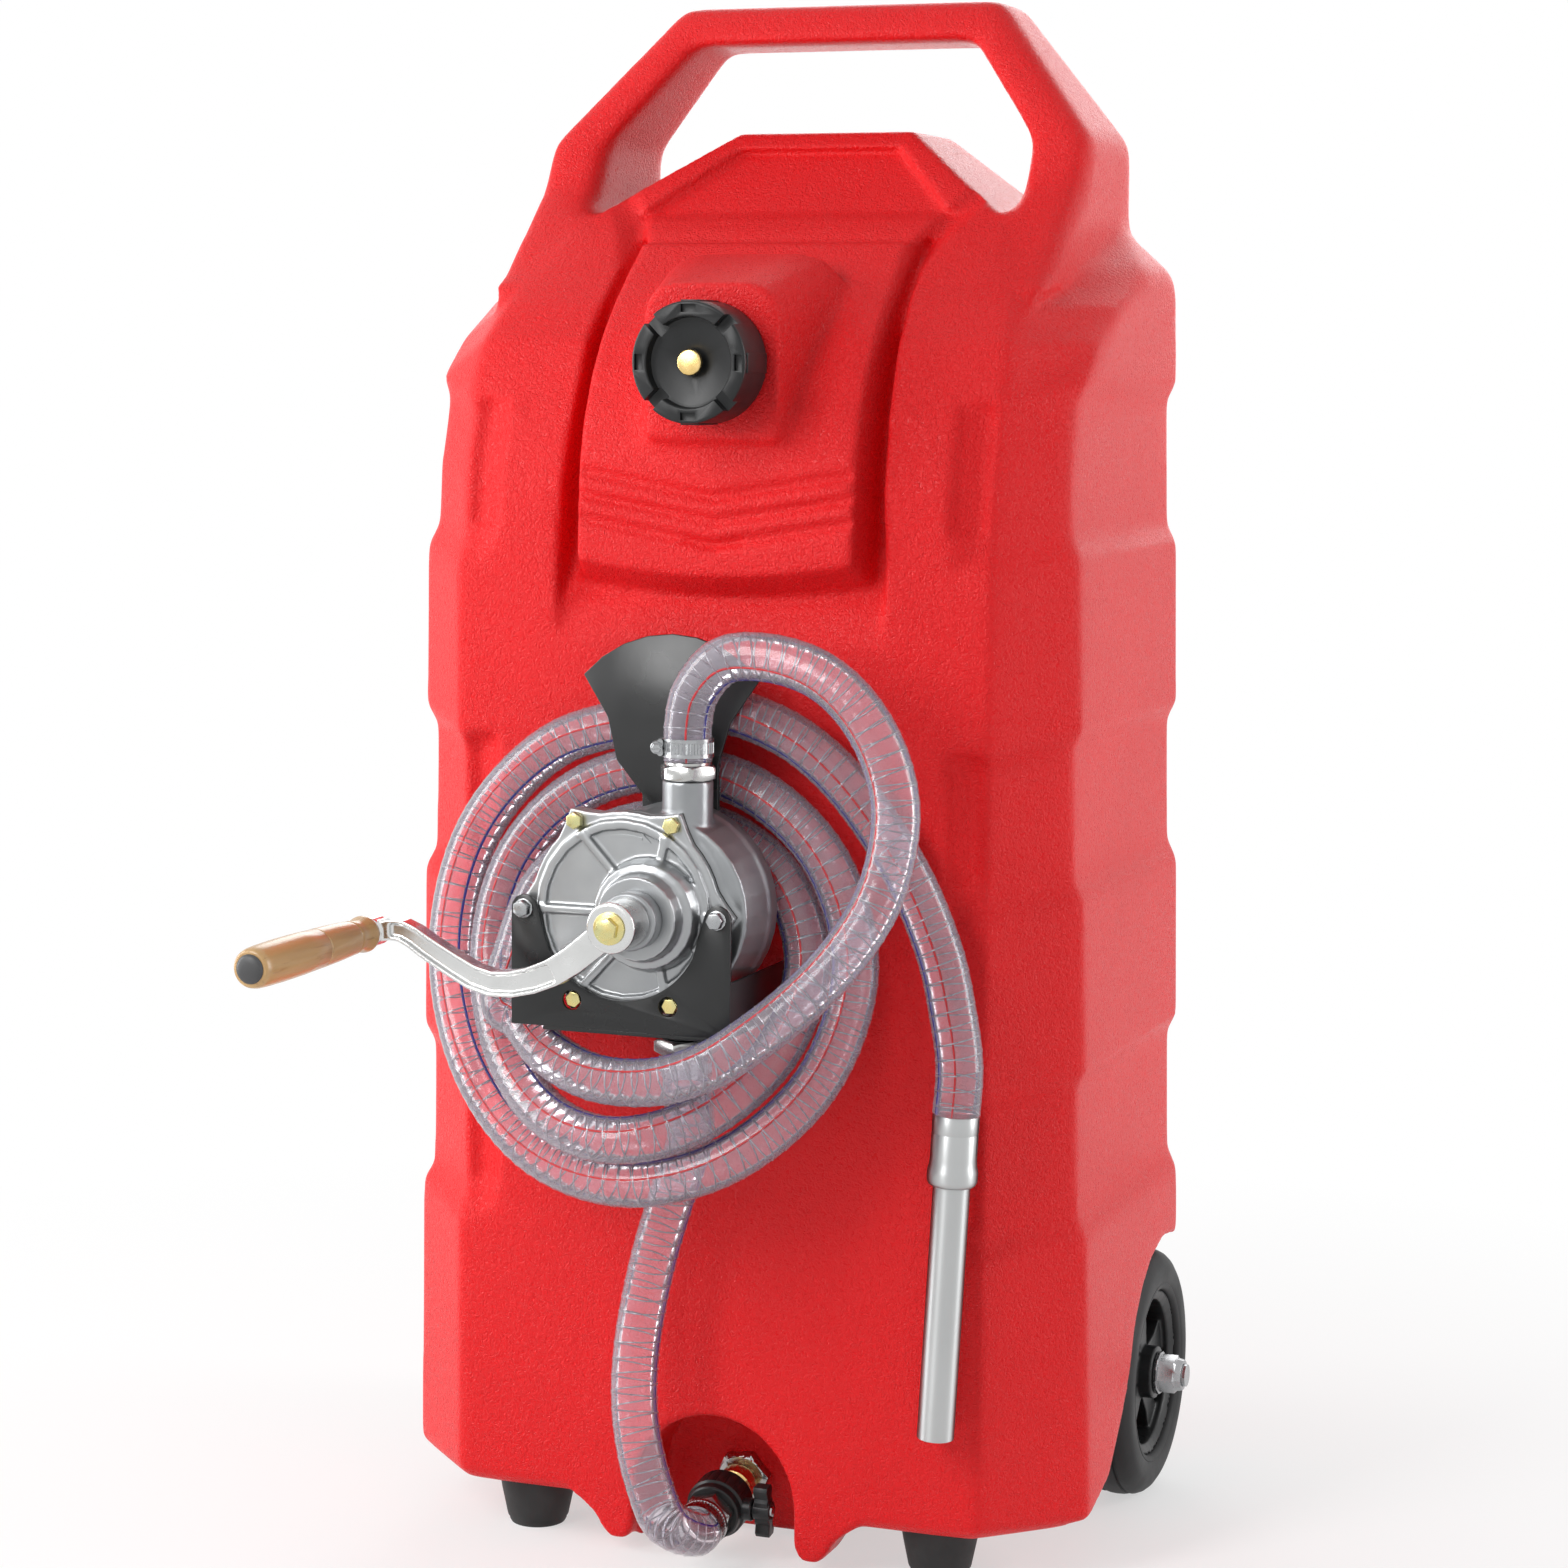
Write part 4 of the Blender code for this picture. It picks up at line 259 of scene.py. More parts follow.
def ranged(tree, value, low, high, out_low=0.0, out_high=1.0):
    return add(
        tree, "MapRange", Value=value, From_Min=low, From_Max=high, To_Min=out_low, To_Max=out_high
    ).outputs["Result"]


def blend(tree, share, one, two):
    """Colour between one and two."""
    mix = add(tree, "Mix", {"data_type": "RGBA"}, Factor=share)
    for socket, colour in ((mix.inputs[6], one), (mix.inputs[7], two)):
        known = isinstance(colour, bpy.types.NodeSocket)
        feed(tree, socket, colour if known else (*colour, 1.0))
    return mix.outputs[2]


def bump(tree, shader, height, distance, strength=1.0):
    made = add(tree, "Bump", Height=height, Distance=distance, Strength=strength)
    tree.links.new(made.outputs["Normal"], shader.inputs["Normal"])


def surface(
    name, one, two, roughness, metallic=0.0, patch=8.0, spread=0.04, grain=600.0, height=0.0,
    **plain,
):
    """Colour that wanders between one and two, uneven gloss and a fine grain."""
    mat, tree, shader, place = start(name, roughness, metallic, **plain)
    share = ranged(tree, noise(tree, place, patch, 3.0), 0.35, 0.65)
    tree.links.new(blend(tree, share, one, two), shader.inputs["Base Color"])
    gloss = noise(tree, place, patch * 2.3, 4.0)
    low, high = max(0.02, roughness - spread), roughness + spread
    tree.links.new(ranged(tree, gloss, 0.3, 0.7, low, high), shader.inputs["Roughness"])
    if height:
        bump(tree, shader, noise(tree, place, grain, 3.0, 0.55), height)
    return mat


def red_polyethylene():
    """Moulded polyethylene: a deep red with a pebbled skin that glints."""
    mat, tree, shader, place = start("red_polyethylene", 0.34, Specular_IOR_Level=0.21)
    share = ranged(tree, noise(tree, place, 5.0, 3.0), 0.35, 0.65)
    tone = blend(tree, share, (0.75, 0.0095, 0.0125), (0.8, 0.0115, 0.0145))
    tree.links.new(tone, shader.inputs["Base Color"])
    pebble = noise(tree, place, 440.0, 2.0, 0.45, 1.1)
    fine = noise(tree, place, 1400.0, 2.0, 0.5)
    both = calc(tree, "MULTIPLY_ADD", fine, 0.22, pebble)
    bump(tree, shader, ranged(tree, both, 0.42, 0.8), 0.00058)
    tree.links.new(ranged(tree, pebble, 0.35, 0.65, 0.27, 0.36), shader.inputs["Roughness"])
    return mat


def clear_hose():
    """Clear vinyl: see-through in the middle, a soft violet where its wall is seen edge-on."""
    mat, tree, shader, place = start("clear_hose", 0.3, Specular_IOR_Level=0.3)
    shader.inputs["Base Color"].default_value = (0.84, 0.74, 0.86, 1.0)
    facing = add(tree, "LayerWeight", Blend=0.2).outputs["Facing"]
    opacity = ranged(tree, facing, 0.1, 0.85, 0.11, 0.46)
    uneven = calc(tree, "MULTIPLY_ADD", noise(tree, place, 30.0, 2.0), 0.1, opacity)
    through = add(tree, "BsdfTransparent", Color=(0.97, 0.955, 0.985, 1.0))
    body = mixed(tree, uneven, through, shader)
    gloss = add(tree, "BsdfGlossy", Color=(1.0, 1.0, 1.0, 1.0), Roughness=0.13)
    wall = mixed(tree, add(tree, "Fresnel", IOR=1.42).outputs["Fac"], body, gloss)
    tree.links.new(wall.outputs[0], tree.nodes["Material Output"].inputs["Surface"])
    return mat


def light_wood():
    """Varnished light wood, its grain along Y."""
    mat, tree, shader, place = start("light_wood", 0.34, Coat_Weight=0.35, Coat_Roughness=0.18)
    along = add(tree, "Mapping", Vector=place, Scale=(1.0, 0.06, 1.0)).outputs["Vector"]
    fibre = noise(tree, along, 420.0, 4.0, 0.6, 0.4)
    figure = noise(tree, along, 70.0, 2.0, 0.5, 1.5)
    share = ranged(tree, figure, 0.35, 0.65)
    tone = blend(tree, share, (0.56, 0.35, 0.15), (0.49, 0.29, 0.115))
    dark = blend(tree, ranged(tree, fibre, 0.58, 0.72, 0.0, 0.6), tone, (0.34, 0.18, 0.065))
    tree.links.new(dark, shader.inputs["Base Color"])
    bump(tree, shader, fibre, 0.00012, 0.5)
    return mat


# Two tones; roughness, metallic, patches a metre, spread of the gloss, grains a metre, their height
FINISHES = {
    "black_plastic": (
        (0.011, 0.0115, 0.012), (0.017, 0.018, 0.019), 0.34, 0.0, 20.0, 0.06, 900.0, 5e-5
    ),
    "dark_grey_plastic": (
        (0.05, 0.05, 0.052), (0.07, 0.07, 0.072), 0.45, 0.0, 30.0, 0.05, 900.0, 4e-5
    ),
    "black_rubber": ((0.012, 0.012, 0.012), (0.02, 0.02, 0.02), 0.62, 0.0, 30.0, 0.08, 500.0, 6e-5),
    "tyre_rubber": (
        (0.013, 0.013, 0.0135), (0.019, 0.019, 0.02), 0.55, 0.0, 14.0, 0.08, 420.0, 8e-5
    ),
    "brass": ((0.8, 0.6, 0.27), (0.72, 0.5, 0.19), 0.24, 1.0, 60.0, 0.06, 900.0, 2e-5),
    "zinc_plated_steel": (
        (0.44, 0.45, 0.46), (0.36, 0.37, 0.38), 0.25, 1.0, 70.0, 0.07, 900.0, 2e-5
    ),
    "nickel_plate": ((0.52, 0.52, 0.51), (0.44, 0.44, 0.43), 0.24, 1.0, 40.0, 0.06, 700.0, 2e-5),
    "cast_aluminium": ((0.34, 0.35, 0.36), (0.28, 0.29, 0.3), 0.36, 0.85, 26.0, 0.06, 1100.0, 6e-5),
    "cover_aluminium": ((0.4, 0.41, 0.415), (0.36, 0.37, 0.38), 0.33, 0.9, 30.0, 0.03, 900.0, 2e-5),
    "polished_aluminium": (
        (0.7, 0.705, 0.7), (0.64, 0.645, 0.64), 0.24, 1.0, 40.0, 0.05, 700.0, 2e-5
    ),
    "satin_aluminium": ((0.51, 0.52, 0.52), (0.48, 0.49, 0.49), 0.4, 1.0, 9.0, 0.03),
    "dull_steel": ((0.38, 0.38, 0.39), (0.32, 0.32, 0.33), 0.26, 1.0, 90.0, 0.05, 900.0, 2e-5),
    "gasket_paper": (
        (0.045, 0.043, 0.04), (0.07, 0.066, 0.06), 0.75, 0.0, 60.0, 0.08, 1500.0, 4e-5
    ),
    "bronze": ((0.62, 0.38, 0.17), (0.52, 0.3, 0.12), 0.34, 1.0, 60.0, 0.07, 900.0, 3e-5),
    "yellow_zinc": ((0.74, 0.6, 0.25), (0.62, 0.6, 0.3), 0.27, 1.0, 110.0, 0.08, 900.0, 2e-5),
    "black_painted_sheet": (
        (0.0075, 0.008, 0.0085), (0.01, 0.0105, 0.011), 0.3, 0.0, 12.0, 0.04, 260.0, 4e-5
    ),
    "hose_wire": ((0.43, 0.43, 0.46), (0.35, 0.35, 0.38), 0.3, 0.8, 90.0, 0.06),
    "stripe_blue": ((0.012, 0.016, 0.2), (0.018, 0.022, 0.26), 0.4),
    "stripe_red": ((0.52, 0.01, 0.014), (0.6, 0.014, 0.02), 0.4),
}
SHEENS = {
    "black_plastic": {"Specular_IOR_Level": 0.32},
    "tyre_rubber": {"Specular_IOR_Level": 0.3},
    "satin_aluminium": {
        # The dark Specular_Tint darkens the metal's reflection towards the edges of the spout and
        # ferrule: painted shade, standing for a dark surround mirrored there.
        "Specular_Tint": (0.12, 0.12, 0.13, 1.0),
        "Anisotropic": 0.75,
        "Anisotropic_Rotation": 0.25,
    },
    "black_painted_sheet": {"Specular_IOR_Level": 0.50},
}
MATERIALS = {
    "red_polyethylene": red_polyethylene(),
    "clear_hose": clear_hose(),
    "light_wood": light_wood(),
}
for finish, values in FINISHES.items():
    MATERIALS[finish] = surface(finish, *values, **SHEENS.get(finish, {}))


def dress(obj, name):
    obj.data.materials.clear()
    obj.data.materials.append(MATERIALS[name])


SLOT_OF = {name: node.data.materials[0].name.split(".")[0] for name, node in NODES.items()}
for node_name, node in NODES.items():
    dress(node, SLOT_OF[node_name])


# Meshes


def in_scene(name, data):
    obj = bpy.data.objects.new(name, data)
    bpy.context.scene.collection.objects.link(obj)
    return obj


def link(name, mesh, body, slot_name, material=None, replaces=()):
    """Puts a finished mesh in the scene: it rides on a body and may stand for CAD nodes."""
    obj = in_scene(name, mesh)
    dress(obj, material or slot_name)
    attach(obj, body)
    if replaces:
        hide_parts(*replaces)
    return obj


def mesh_from(name, bm):
    """The mesh of a bmesh, which is freed."""
    mesh = bpy.data.meshes.new(name)
    bm.to_mesh(mesh)
    bm.free()
    return mesh


def bmesh_of(mesh):
    bm = bmesh.new()
    bm.from_mesh(mesh)
    return bm


def cad_copy(node_name):
    """A welded bmesh of a CAD node."""
    bm = bmesh_of(NODES[node_name].data)
    bmesh.ops.remove_doubles(bm, verts=bm.verts, dist=1e-6)
    return bm


def modified(obj):
    """The mesh that a passing object's modifiers give; the object and its own mesh go."""
    depsgraph = bpy.context.evaluated_depsgraph_get()
    made = bpy.data.meshes.new_from_object(obj.evaluated_get(depsgraph))
    old = obj.data
    bpy.data.objects.remove(obj)
    bpy.data.meshes.remove(old)
    return made


def voxel_mesh(name, bm, voxel):
    """The closed surface round everything in bm, as an even net of quads."""
    obj = in_scene(name, mesh_from(name, bm))
    remesh = obj.modifiers.new("remesh", "REMESH")
    remesh.mode = "VOXEL"
    remesh.voxel_size = voxel
    remesh.adaptivity = 0.0
    return modified(obj)


def thin_out(name, mesh, triangles):
    """The same surface with about so many triangles."""
    count = len(mesh.polygons)
    obj = in_scene(name, mesh)
    modifier = obj.modifiers.new("thin", "DECIMATE")
    modifier.ratio = min(1.0, triangles / (2.0 * count))
    return modified(obj)


def largest_shell(mesh):
    """Keeps the shell with the most points, which is the outer one, and drops those inside it."""
    bm = bmesh_of(mesh)
    seen = set()
    shells = []
    for first in bm.verts:
        if first.index in seen:
            continue
        stack = [first]
        seen.add(first.index)
        shell = []
        while stack:
            vert = stack.pop()
            shell.append(vert)
            for edge in vert.link_edges:
                other = edge.other_vert(vert)
                if other.index not in seen:
                    seen.add(other.index)
                    stack.append(other)
        shells.append(shell)
    shells.sort(key=len)
    inner = [vert for shell in shells[:-1] for vert in shell]
    bmesh.ops.delete(bm, geom=inner, context="VERTS")
    bm.to_mesh(mesh)
    bm.free()


def points_of(mesh, kind="co"):
    """The places, or the normals, of a mesh's points as an array."""
    points = np.empty(len(mesh.vertices) * 3, np.float32)
    mesh.vertices.foreach_get(kind, points)
    return points.reshape(-1, 3).astype(np.float64)


def move_points(mesh, points):
    mesh.vertices.foreach_set("co", points.astype(np.float32).ravel())
    mesh.update()


def smooth_net(mesh, rounds):
    """Rounds the edges of a net: each point moves half way to the mean of its neighbours."""
    points = points_of(mesh)
    edges = np.empty(len(mesh.edges) * 2, np.int32)
    mesh.edges.foreach_get("vertices", edges)
    edges = edges.reshape(-1, 2)
    count = len(points)
    degree = np.bincount(edges.ravel(), minlength=count).astype(float)[:, None]
    for _ in range(rounds):
        total = np.zeros_like(points)
        for axis in range(3):
            total[:, axis] = np.bincount(edges[:, 0], points[edges[:, 1], axis], count)
            total[:, axis] += np.bincount(edges[:, 1], points[edges[:, 0], axis], count)
        points += 0.5 * (total / degree - points)
    move_points(mesh, points)
    return points


def cylinder_between(bm, start_point, end_point, radius, steps=32):
    direction = Vector(end_point) - Vector(start_point)
    matrix = Matrix.Translation((Vector(start_point) + Vector(end_point)) / 2)
    matrix = matrix @ direction.to_track_quat("Z", "Y").to_matrix().to_4x4()
    size = {"radius1": radius, "radius2": radius, "depth": direction.length}
    bmesh.ops.create_cone(bm, cap_ends=True, segments=steps, matrix=matrix, **size)


# Tank


def ramp(value, low, high):
    """0 below low and 1 above high, with a smooth rise between them."""
    share = np.clip((value - low) / (high - low), 0.0, 1.0)
    return share * share * (3.0 - 2.0 * share)


def soft_round(mesh):
    """Rounds the handle and the shoulders most, the sides less and the panels hardly."""
    before = points_of(mesh)
    side = np.abs(before[:, 0])
    ahead = ramp(TANK_SHIFT - before[:, 1], 0.0, 0.05)
    z = before[:, 2]
    crest = np.clip(0.147 - 1.39 * (z - 0.914), 0.05, 0.16)
    handle = ramp(z, 0.89, 0.915) * ramp(side - crest, -0.004, 0.014)
    handle = np.maximum(handle, ramp(z, 0.975, 0.99))
    shoulder = ramp(z, 0.85, 0.875) * ramp(side, 0.15, 0.172)
    column = 0.45 * ramp(side, 0.112, 0.122) * ramp(z, 0.64, 0.7) * ahead
    edge = 0.22 * ramp(side, 0.15, 0.185)
    boss = 0.6 * ramp(0.072 - side, 0.0, 0.012) * ramp(z, 0.744, 0.752)
    boss = boss * ramp(0.79 - z, 0.0, 0.015) * ahead
    share = np.max((handle, shoulder, column, edge, boss), axis=0)[:, None]
    after = smooth_net(mesh, SOFT_ROUNDS)
    move_points(mesh, before + share * (after - before))


def distance_to(route, x, z):
    """How far each point is from a line of points, and how far along the line it is."""
    near = np.full(len(x), 10.0)
    along = np.zeros(len(x))
    last = len(route) - 1
    for i in range(last):
        (ax, az), (bx, bz) = route[i], route[i + 1]
        run = (bx - ax) ** 2 + (bz - az) ** 2
        share = np.clip(((x - ax) * (bx - ax) + (z - az) * (bz - az)) / run, 0.0, 1.0)
        gap = np.hypot(x - ax - share * (bx - ax), z - az - share * (bz - az))
        closer = gap < near
        near = np.where(closer, gap, near)
        along = np.where(closer, (i + share) / last, along)
    return near, along


def press_details(mesh):
    """The crest's panel, groove ends, chevrons and pockets, pressed into the front of the net."""
    points = points_of(mesh)
    side = np.abs(points[:, 0])
    z = points[:, 2]
    forward = -points_of(mesh, "normal")[:, 1]
    front = ramp(forward, 0.1, 0.4) * (points[:, 1] < TANK_SHIFT + 0.03)

    slant = (CREST_HALF_WIDTH - CREST_SLOPE * (z - 0.91) - side) / CREST_SCALE
    inside = np.minimum(slant, np.minimum(z - 0.911, 0.962 - z))
    depth = CREST_DEPTH * ramp(inside, -0.001, 0.005)

    gap, along = distance_to(GROOVE_END, side, z)
    trough = 0.011 * ramp(along, 0.05, 0.4) - 0.006 * ramp(along, 0.5, 1.0)
    depth += trough * (1.0 - ramp(gap, 0.001, 0.012))

    for k in range(DETAIL_COUNT):
        fall = CHEVRON_FALL * (1.0 - side / CHEVRON_HALF_WIDTH)
        across = z - (CHEVRON_TOP - CHEVRON_PITCH * k - fall)
        inset = ramp(0.0985 - side, 0.0, 0.005)
        depth += CHEVRON_DEPTH * inset * np.exp(-(((across + 0.003) / 0.0034) ** 2))
        low = POCKET_LOW + POCKET_PITCH * k
        height = ramp(z, low + 0.01, low + 0.018) * ramp(low + 0.102 - z, 0.0, 0.008)
        depth += POCKET_DEPTH * ramp(side, 0.157, 0.164) * (1.0 - ramp(side, 0.176, 0.188)) * height

    points[:, 1] += front * depth
    move_points(mesh, points)


def front_y(z):
    """The front of the tank: upright, then an arc, then a straight lean up to the crest."""
    rise = min(max(z, ARC_LOW), ARC_HIGH) - ARC_LOW
    bend = FRONT_ARC - math.sqrt(FRONT_ARC**2 - rise**2)
    return FRONT_Y + bend + FRONT_LEAN * max(0.0, z - ARC_HIGH)


def hull_of(bm, points):
    """A closed convex body round a few points."""
    verts = [bm.verts.new(at(*point)) for point in points]
    bmesh.ops.convex_hull(bm, input=verts)


def gusset(bm, side):
    """Carries the front of a handle leg down into the corner of the tank."""
    points = []
    for z, wide, inset in ((0.868, 0.1995, 0.0), (0.78, 0.168, 0.003)):
        for x in (0.15, wide):
            points.append((side * x, front_y(z) + inset, z))
            points.append((side * x, 0.0, z))
    hull_of(bm, points)


def groove_floor(bm, side):
    """Lets the groove beside the panel run out at its top."""
    behind = ((0.845, 0.0255), (0.875, 0.016), (0.902, 0.005), (0.902, 0.05), (0.845, 0.06))
    hull_of(bm, [(side * x, front_y(z) + y, z) for x in (0.09, 0.126) for z, y in behind])


def make_tank():
    """The blow moulding: the CAD tank's outside with soft edges."""
    bm = cad_copy("tank")
    # The two bores are plugged, so that the net has no inside
    cylinder_between(bm, at(0, -0.19, CAP_Z), at(0, -0.12, CAP_Z), 0.0262)
    cylinder_between(bm, at(0, -0.104, 0.044), at(0, -0.086, 0.046), 0.016)
    # The CAD's ridges are filled up, so that the chevrons can be pressed in afresh
    flat = []
    for z in (0.696, 0.715, 0.735, 0.752):
        for x in (-0.0966, 0.0966):
            flat += [(x, front_y(z) - 0.01, z), (x, front_y(z) + 0.004, z)]
    hull_of(bm, flat)
    for side in (-1, 1):
        gusset(bm, side)
        groove_floor(bm, side)
    mesh = voxel_mesh("tank_skin", bm, TANK_VOXEL)
    largest_shell(mesh)
    smooth_net(mesh, TANK_SMOOTHING)
    soft_round(mesh)
    press_details(mesh)
    smooth_net(mesh, 1)
    mesh = thin_out("tank_thin", mesh, TANK_TRIANGLES)
    mesh.shade_smooth()
    link("tank_skin", mesh, "caddy", "red_polyethylene", replaces=["tank"])


# Hoses


def catmull(points, steps):
    """Points of a Catmull-Rom curve through the given points."""
    route = [Vector(p) for p in points]
    route = [2 * route[0] - route[1]] + route + [2 * route[-1] - route[-2]]
    path = []
    for a, b, c, d in zip(route, route[1:], route[2:], route[3:]):
        for i in range(steps):
            t = i / steps
            curve = 2 * b + (c - a) * t + (2 * a - 5 * b + 4 * c - d) * t * t
            path.append(0.5 * (curve + (3 * b - a - 3 * c + d) * t**3))
    path.append(route[-2])
    return path


def read_off(rows, lengths, want):
    """The rows of a line read off at the wanted lengths."""
    return np.stack([np.interp(want, lengths, rows[:, k]) for k in range(3)], axis=1)


def resample(points, step):
    """The polyline cut into equal steps, as an array, and the length at each of its points."""
    line = np.array([tuple(p) for p in points])
    lengths = np.concatenate(([0.0], np.cumsum(np.linalg.norm(np.diff(line, axis=0), axis=1))))
    count = max(2, round(lengths[-1] / step))
    want = np.linspace(0.0, lengths[-1], count + 1)
    return read_off(line, lengths, want), want


def frames_along(line):
    """A side and an up direction at each point, which don't twist round the line."""
    tangents = np.gradient(line, axis=0)
    tangents /= np.linalg.norm(tangents, axis=1)[:, None]
    side = np.cross(tangents[0], (0.0, 1.0, 0.0))
    sides = []
    for tangent in tangents:
        side = side - tangent * np.dot(side, tangent)
        side /= np.linalg.norm(side)
        sides.append(side)
    sides = np.array(sides)
    return sides, np.cross(tangents, sides)


def swept(name, line, sides, ups, radii, around, offset=(0.0, 0.0)):
    """A closed tube with the given radii; offset (side, up) moves its centre off the line."""
    count = len(line)
    centre = line + offset[0] * sides + offset[1] * ups
    angles = 2 * math.pi * np.arange(around) / around
    radii = np.broadcast_to(radii, (count, around))
    points = (
        centre[:, None, :]
        + (radii * np.cos(angles))[:, :, None] * sides[:, None, :]
        + (radii * np.sin(angles))[:, :, None] * ups[:, None, :]
    ).reshape(-1, 3)
    faces = []
    for low in range(0, (count - 1) * around, around):
        high = low + around
        for k in range(around):
            n = (k + 1) % around
            faces.append((low + k, low + n, high + n, high + k))
    faces.append(tuple(reversed(range(around))))
    faces.append(tuple((count - 1) * around + k for k in range(around)))
    mesh = bpy.data.meshes.new(name)
    mesh.from_pydata([tuple(p) for p in points], [], faces)
    mesh.update()
    mesh.shade_smooth()
    return mesh


def helix_tube(name, line, lengths, sides, ups, phase):
    """The steel helix inside the hose wall, as a thin tube round the centreline."""
    count = int(lengths[-1] / WIRE_PITCH * WIRE_SAMPLES)
    want = np.linspace(0.0, lengths[-1], count)
    angle = 2 * math.pi * want / WIRE_PITCH + phase
    centre, side, up = (read_off(rows, lengths, want) for rows in (line, sides, ups))
    out = side * np.cos(angle)[:, None] + up * np.sin(angle)[:, None]
    wire = centre + (HOSE_RADIUS - WIRE_DEPTH) * out
    forward = np.gradient(wire, axis=0)
    forward /= np.linalg.norm(forward, axis=1)[:, None]
    return swept(name, wire, out, np.cross(forward, out), WIRE_RADIUS, 5)


def make_hose(name, route, phase, point, ways, nodes, fittings=(), **ends):
    """A clear hose along a route, in place of CAD nodes: ribbed wall, steel helix, two stripes.

    At the given point the stripes face these ways, in degrees from -Y towards +X.
    """
    line, lengths = resample(route, WIRE_PITCH / 8)
    sides, ups = frames_along(line)
    theta = 2 * math.pi * np.arange(HOSE_SIDES) / HOSE_SIDES
    wave = 0.5 + 0.5 * np.cos(2 * math.pi * lengths[:, None] / WIRE_PITCH + phase - theta)
    fade = np.clip(np.minimum(lengths, lengths[-1] - lengths) / 0.012, 0.0, 1.0)[:, None]
    radii = HOSE_RADIUS - RIB_HEIGHT * fade * (1.0 - wave**4)
    wall = swept(name, line, sides, ups, radii, HOSE_SIDES)
    wire = helix_tube(name + "_wire", line, lengths, sides, ups, phase)
    extras = [link(name + "_wire", wire, "caddy", "clear_hose", "hose_wire")]
    for (colour, radius), way in zip(STRIPES, ways):
        a = math.radians(way)
        facing = np.array((math.sin(a), -math.cos(a), 0.0))
        turn = math.atan2(np.dot(facing, ups[point]), np.dot(facing, sides[point]))
        reach = HOSE_RADIUS - STRIPE_DEPTH - radius
        offset = (reach * math.cos(turn), reach * math.sin(turn))
        title = f"{name}_stripe_{colour}"
        stripe = swept(title, line, sides, ups, radius, 6, offset)
        extras.append(link(title, stripe, "caddy", "clear_hose", "stripe_" + colour))
    obj = link(name, wall, "caddy", "clear_hose", replaces=nodes)


def spout_direction():
    t = math.radians(SPOUT_TILT)
    return Vector((-math.sin(t), 0.0, -math.cos(t)))


def make_delivery_hose():
    """From the pump's upper port over the top, round the pump and down to the spout."""
    stations = catmull([(r, d, 0.0) for r, d in zip(COIL_REACH, COIL_DEPTH)], COIL_STEPS // 4)
    coil = []
    for i, (reach, depth, _) in enumerate(stations):
        t = 2 * math.pi * i / COIL_STEPS
        coil.append(Vector((COIL_X - reach * math.cos(t), -depth, COIL_Z + reach * math.sin(t))))
    first = (coil[1] - coil[0]).normalized()
    last = (coil[-1] - coil[-2]).normalized()
    lead = [Vector(PORT) + Vector(p) for p in LEAD_ROUTE] + [coil[0] - first * 2 * HOSE_RADIUS]
    tail = [coil[-1] + last * 2 * HOSE_RADIUS] + [Vector(p) for p in TAIL_ROUTE]
    end = Vector(SPOUT_TOP)
    tail += [end - spout_direction() * 2 * HOSE_RADIUS, end]
    route = [at(*p) for p in catmull(lead + coil[::2] + tail, 8)]
    make_hose(
        "delivery_hose",
        route,
        0.0,
        -1,
        (-42.0, 7.0),
        ["hose_lead", "hose_coil", "hose_tail"],
        ["spout_ferrule", "spout_tube"],
        exit=tuple(at(*PORT)),
        far_end="fitting",
        lay="coiled",
    )


def make_suction_hose():
    """From the pump's lower port down to the barb of the bottom valve."""
    t = math.radians(VALVE_TILT)
    out = Vector((0.0, -math.cos(t), -math.sin(t)))
    barb = Vector(VALVE_WALL) + out * BARB_ALONG
    inlet = Vector(INLET)
    route = [inlet, inlet - Vector((0, 0, 0.9 * HOSE_RADIUS))] + [Vector(p) for p in SUCTION_ROUTE]
    route += [barb + out * 1.2 * HOSE_RADIUS, barb + out * FACE_GAP]
    path = [at(*p) for p in catmull(route, 8)]
    make_hose(
        "inlet_hose",
        path,
        1.0,
        0,
        (78.0, 112.0),
        ["suction_hose"],
        exit=tuple(at(*INLET)),
        far_end="object",
        lay="hanging",
    )


# Turned, cut and softened pieces


def revolve(profile, steps, reach=None):
    """A solid turned round Z from its profile; reach(turn, row) scales a point's radius."""
    bm = bmesh.new()
    rings = []
    for row, (radius, height) in enumerate(profile):
        if radius < 1e-7:
            rings.append([bm.verts.new((0.0, 0.0, height))])
            continue
        ring = []
        for i in range(steps):
            t = 2 * math.pi * i / steps
            r = radius * (reach(i, row) if reach else 1.0)
            ring.append(bm.verts.new((r * math.cos(t), r * math.sin(t), height)))
        rings.append(ring)
    follow = rings[1:] + (rings[:1] if profile[0][0] > 1e-7 else [])
    for low, high in zip(rings, follow):
        for i in range(steps):
            j = (i + 1) % steps
            corners = []
            for ring, k in ((low, i), (low, j), (high, j), (high, i)):
                vert = ring[k % len(ring)]
                if vert not in corners:
                    corners.append(vert)
            if len(corners) > 2:
                bm.faces.new(corners)
    return bm


def box_at(middle, size):
    bm = bmesh.new()
    bmesh.ops.create_cube(bm, size=1.0)
    bmesh.ops.scale(bm, vec=size, verts=bm.verts)
    bmesh.ops.translate(bm, vec=middle, verts=bm.verts)
    return bm


def block(low, high):
    """A box between two corners."""
    size = Vector(high) - Vector(low)
    return box_at(Vector(low) + size / 2, size)


def plate(bm, outline, front, back):
    """A flat sheet between two depths, with an outline of (x, z) points."""
    face = bm.faces.new([bm.verts.new(at(x, front, z)) for x, z in outline])
    made = bmesh.ops.extrude_face_region(bm, geom=[face])
    moved = [item for item in made["geom"] if isinstance(item, bmesh.types.BMVert)]
    bmesh.ops.translate(bm, vec=(0.0, back - front, 0.0), verts=moved)
    bmesh.ops.recalc_face_normals(bm, faces=bm.faces)


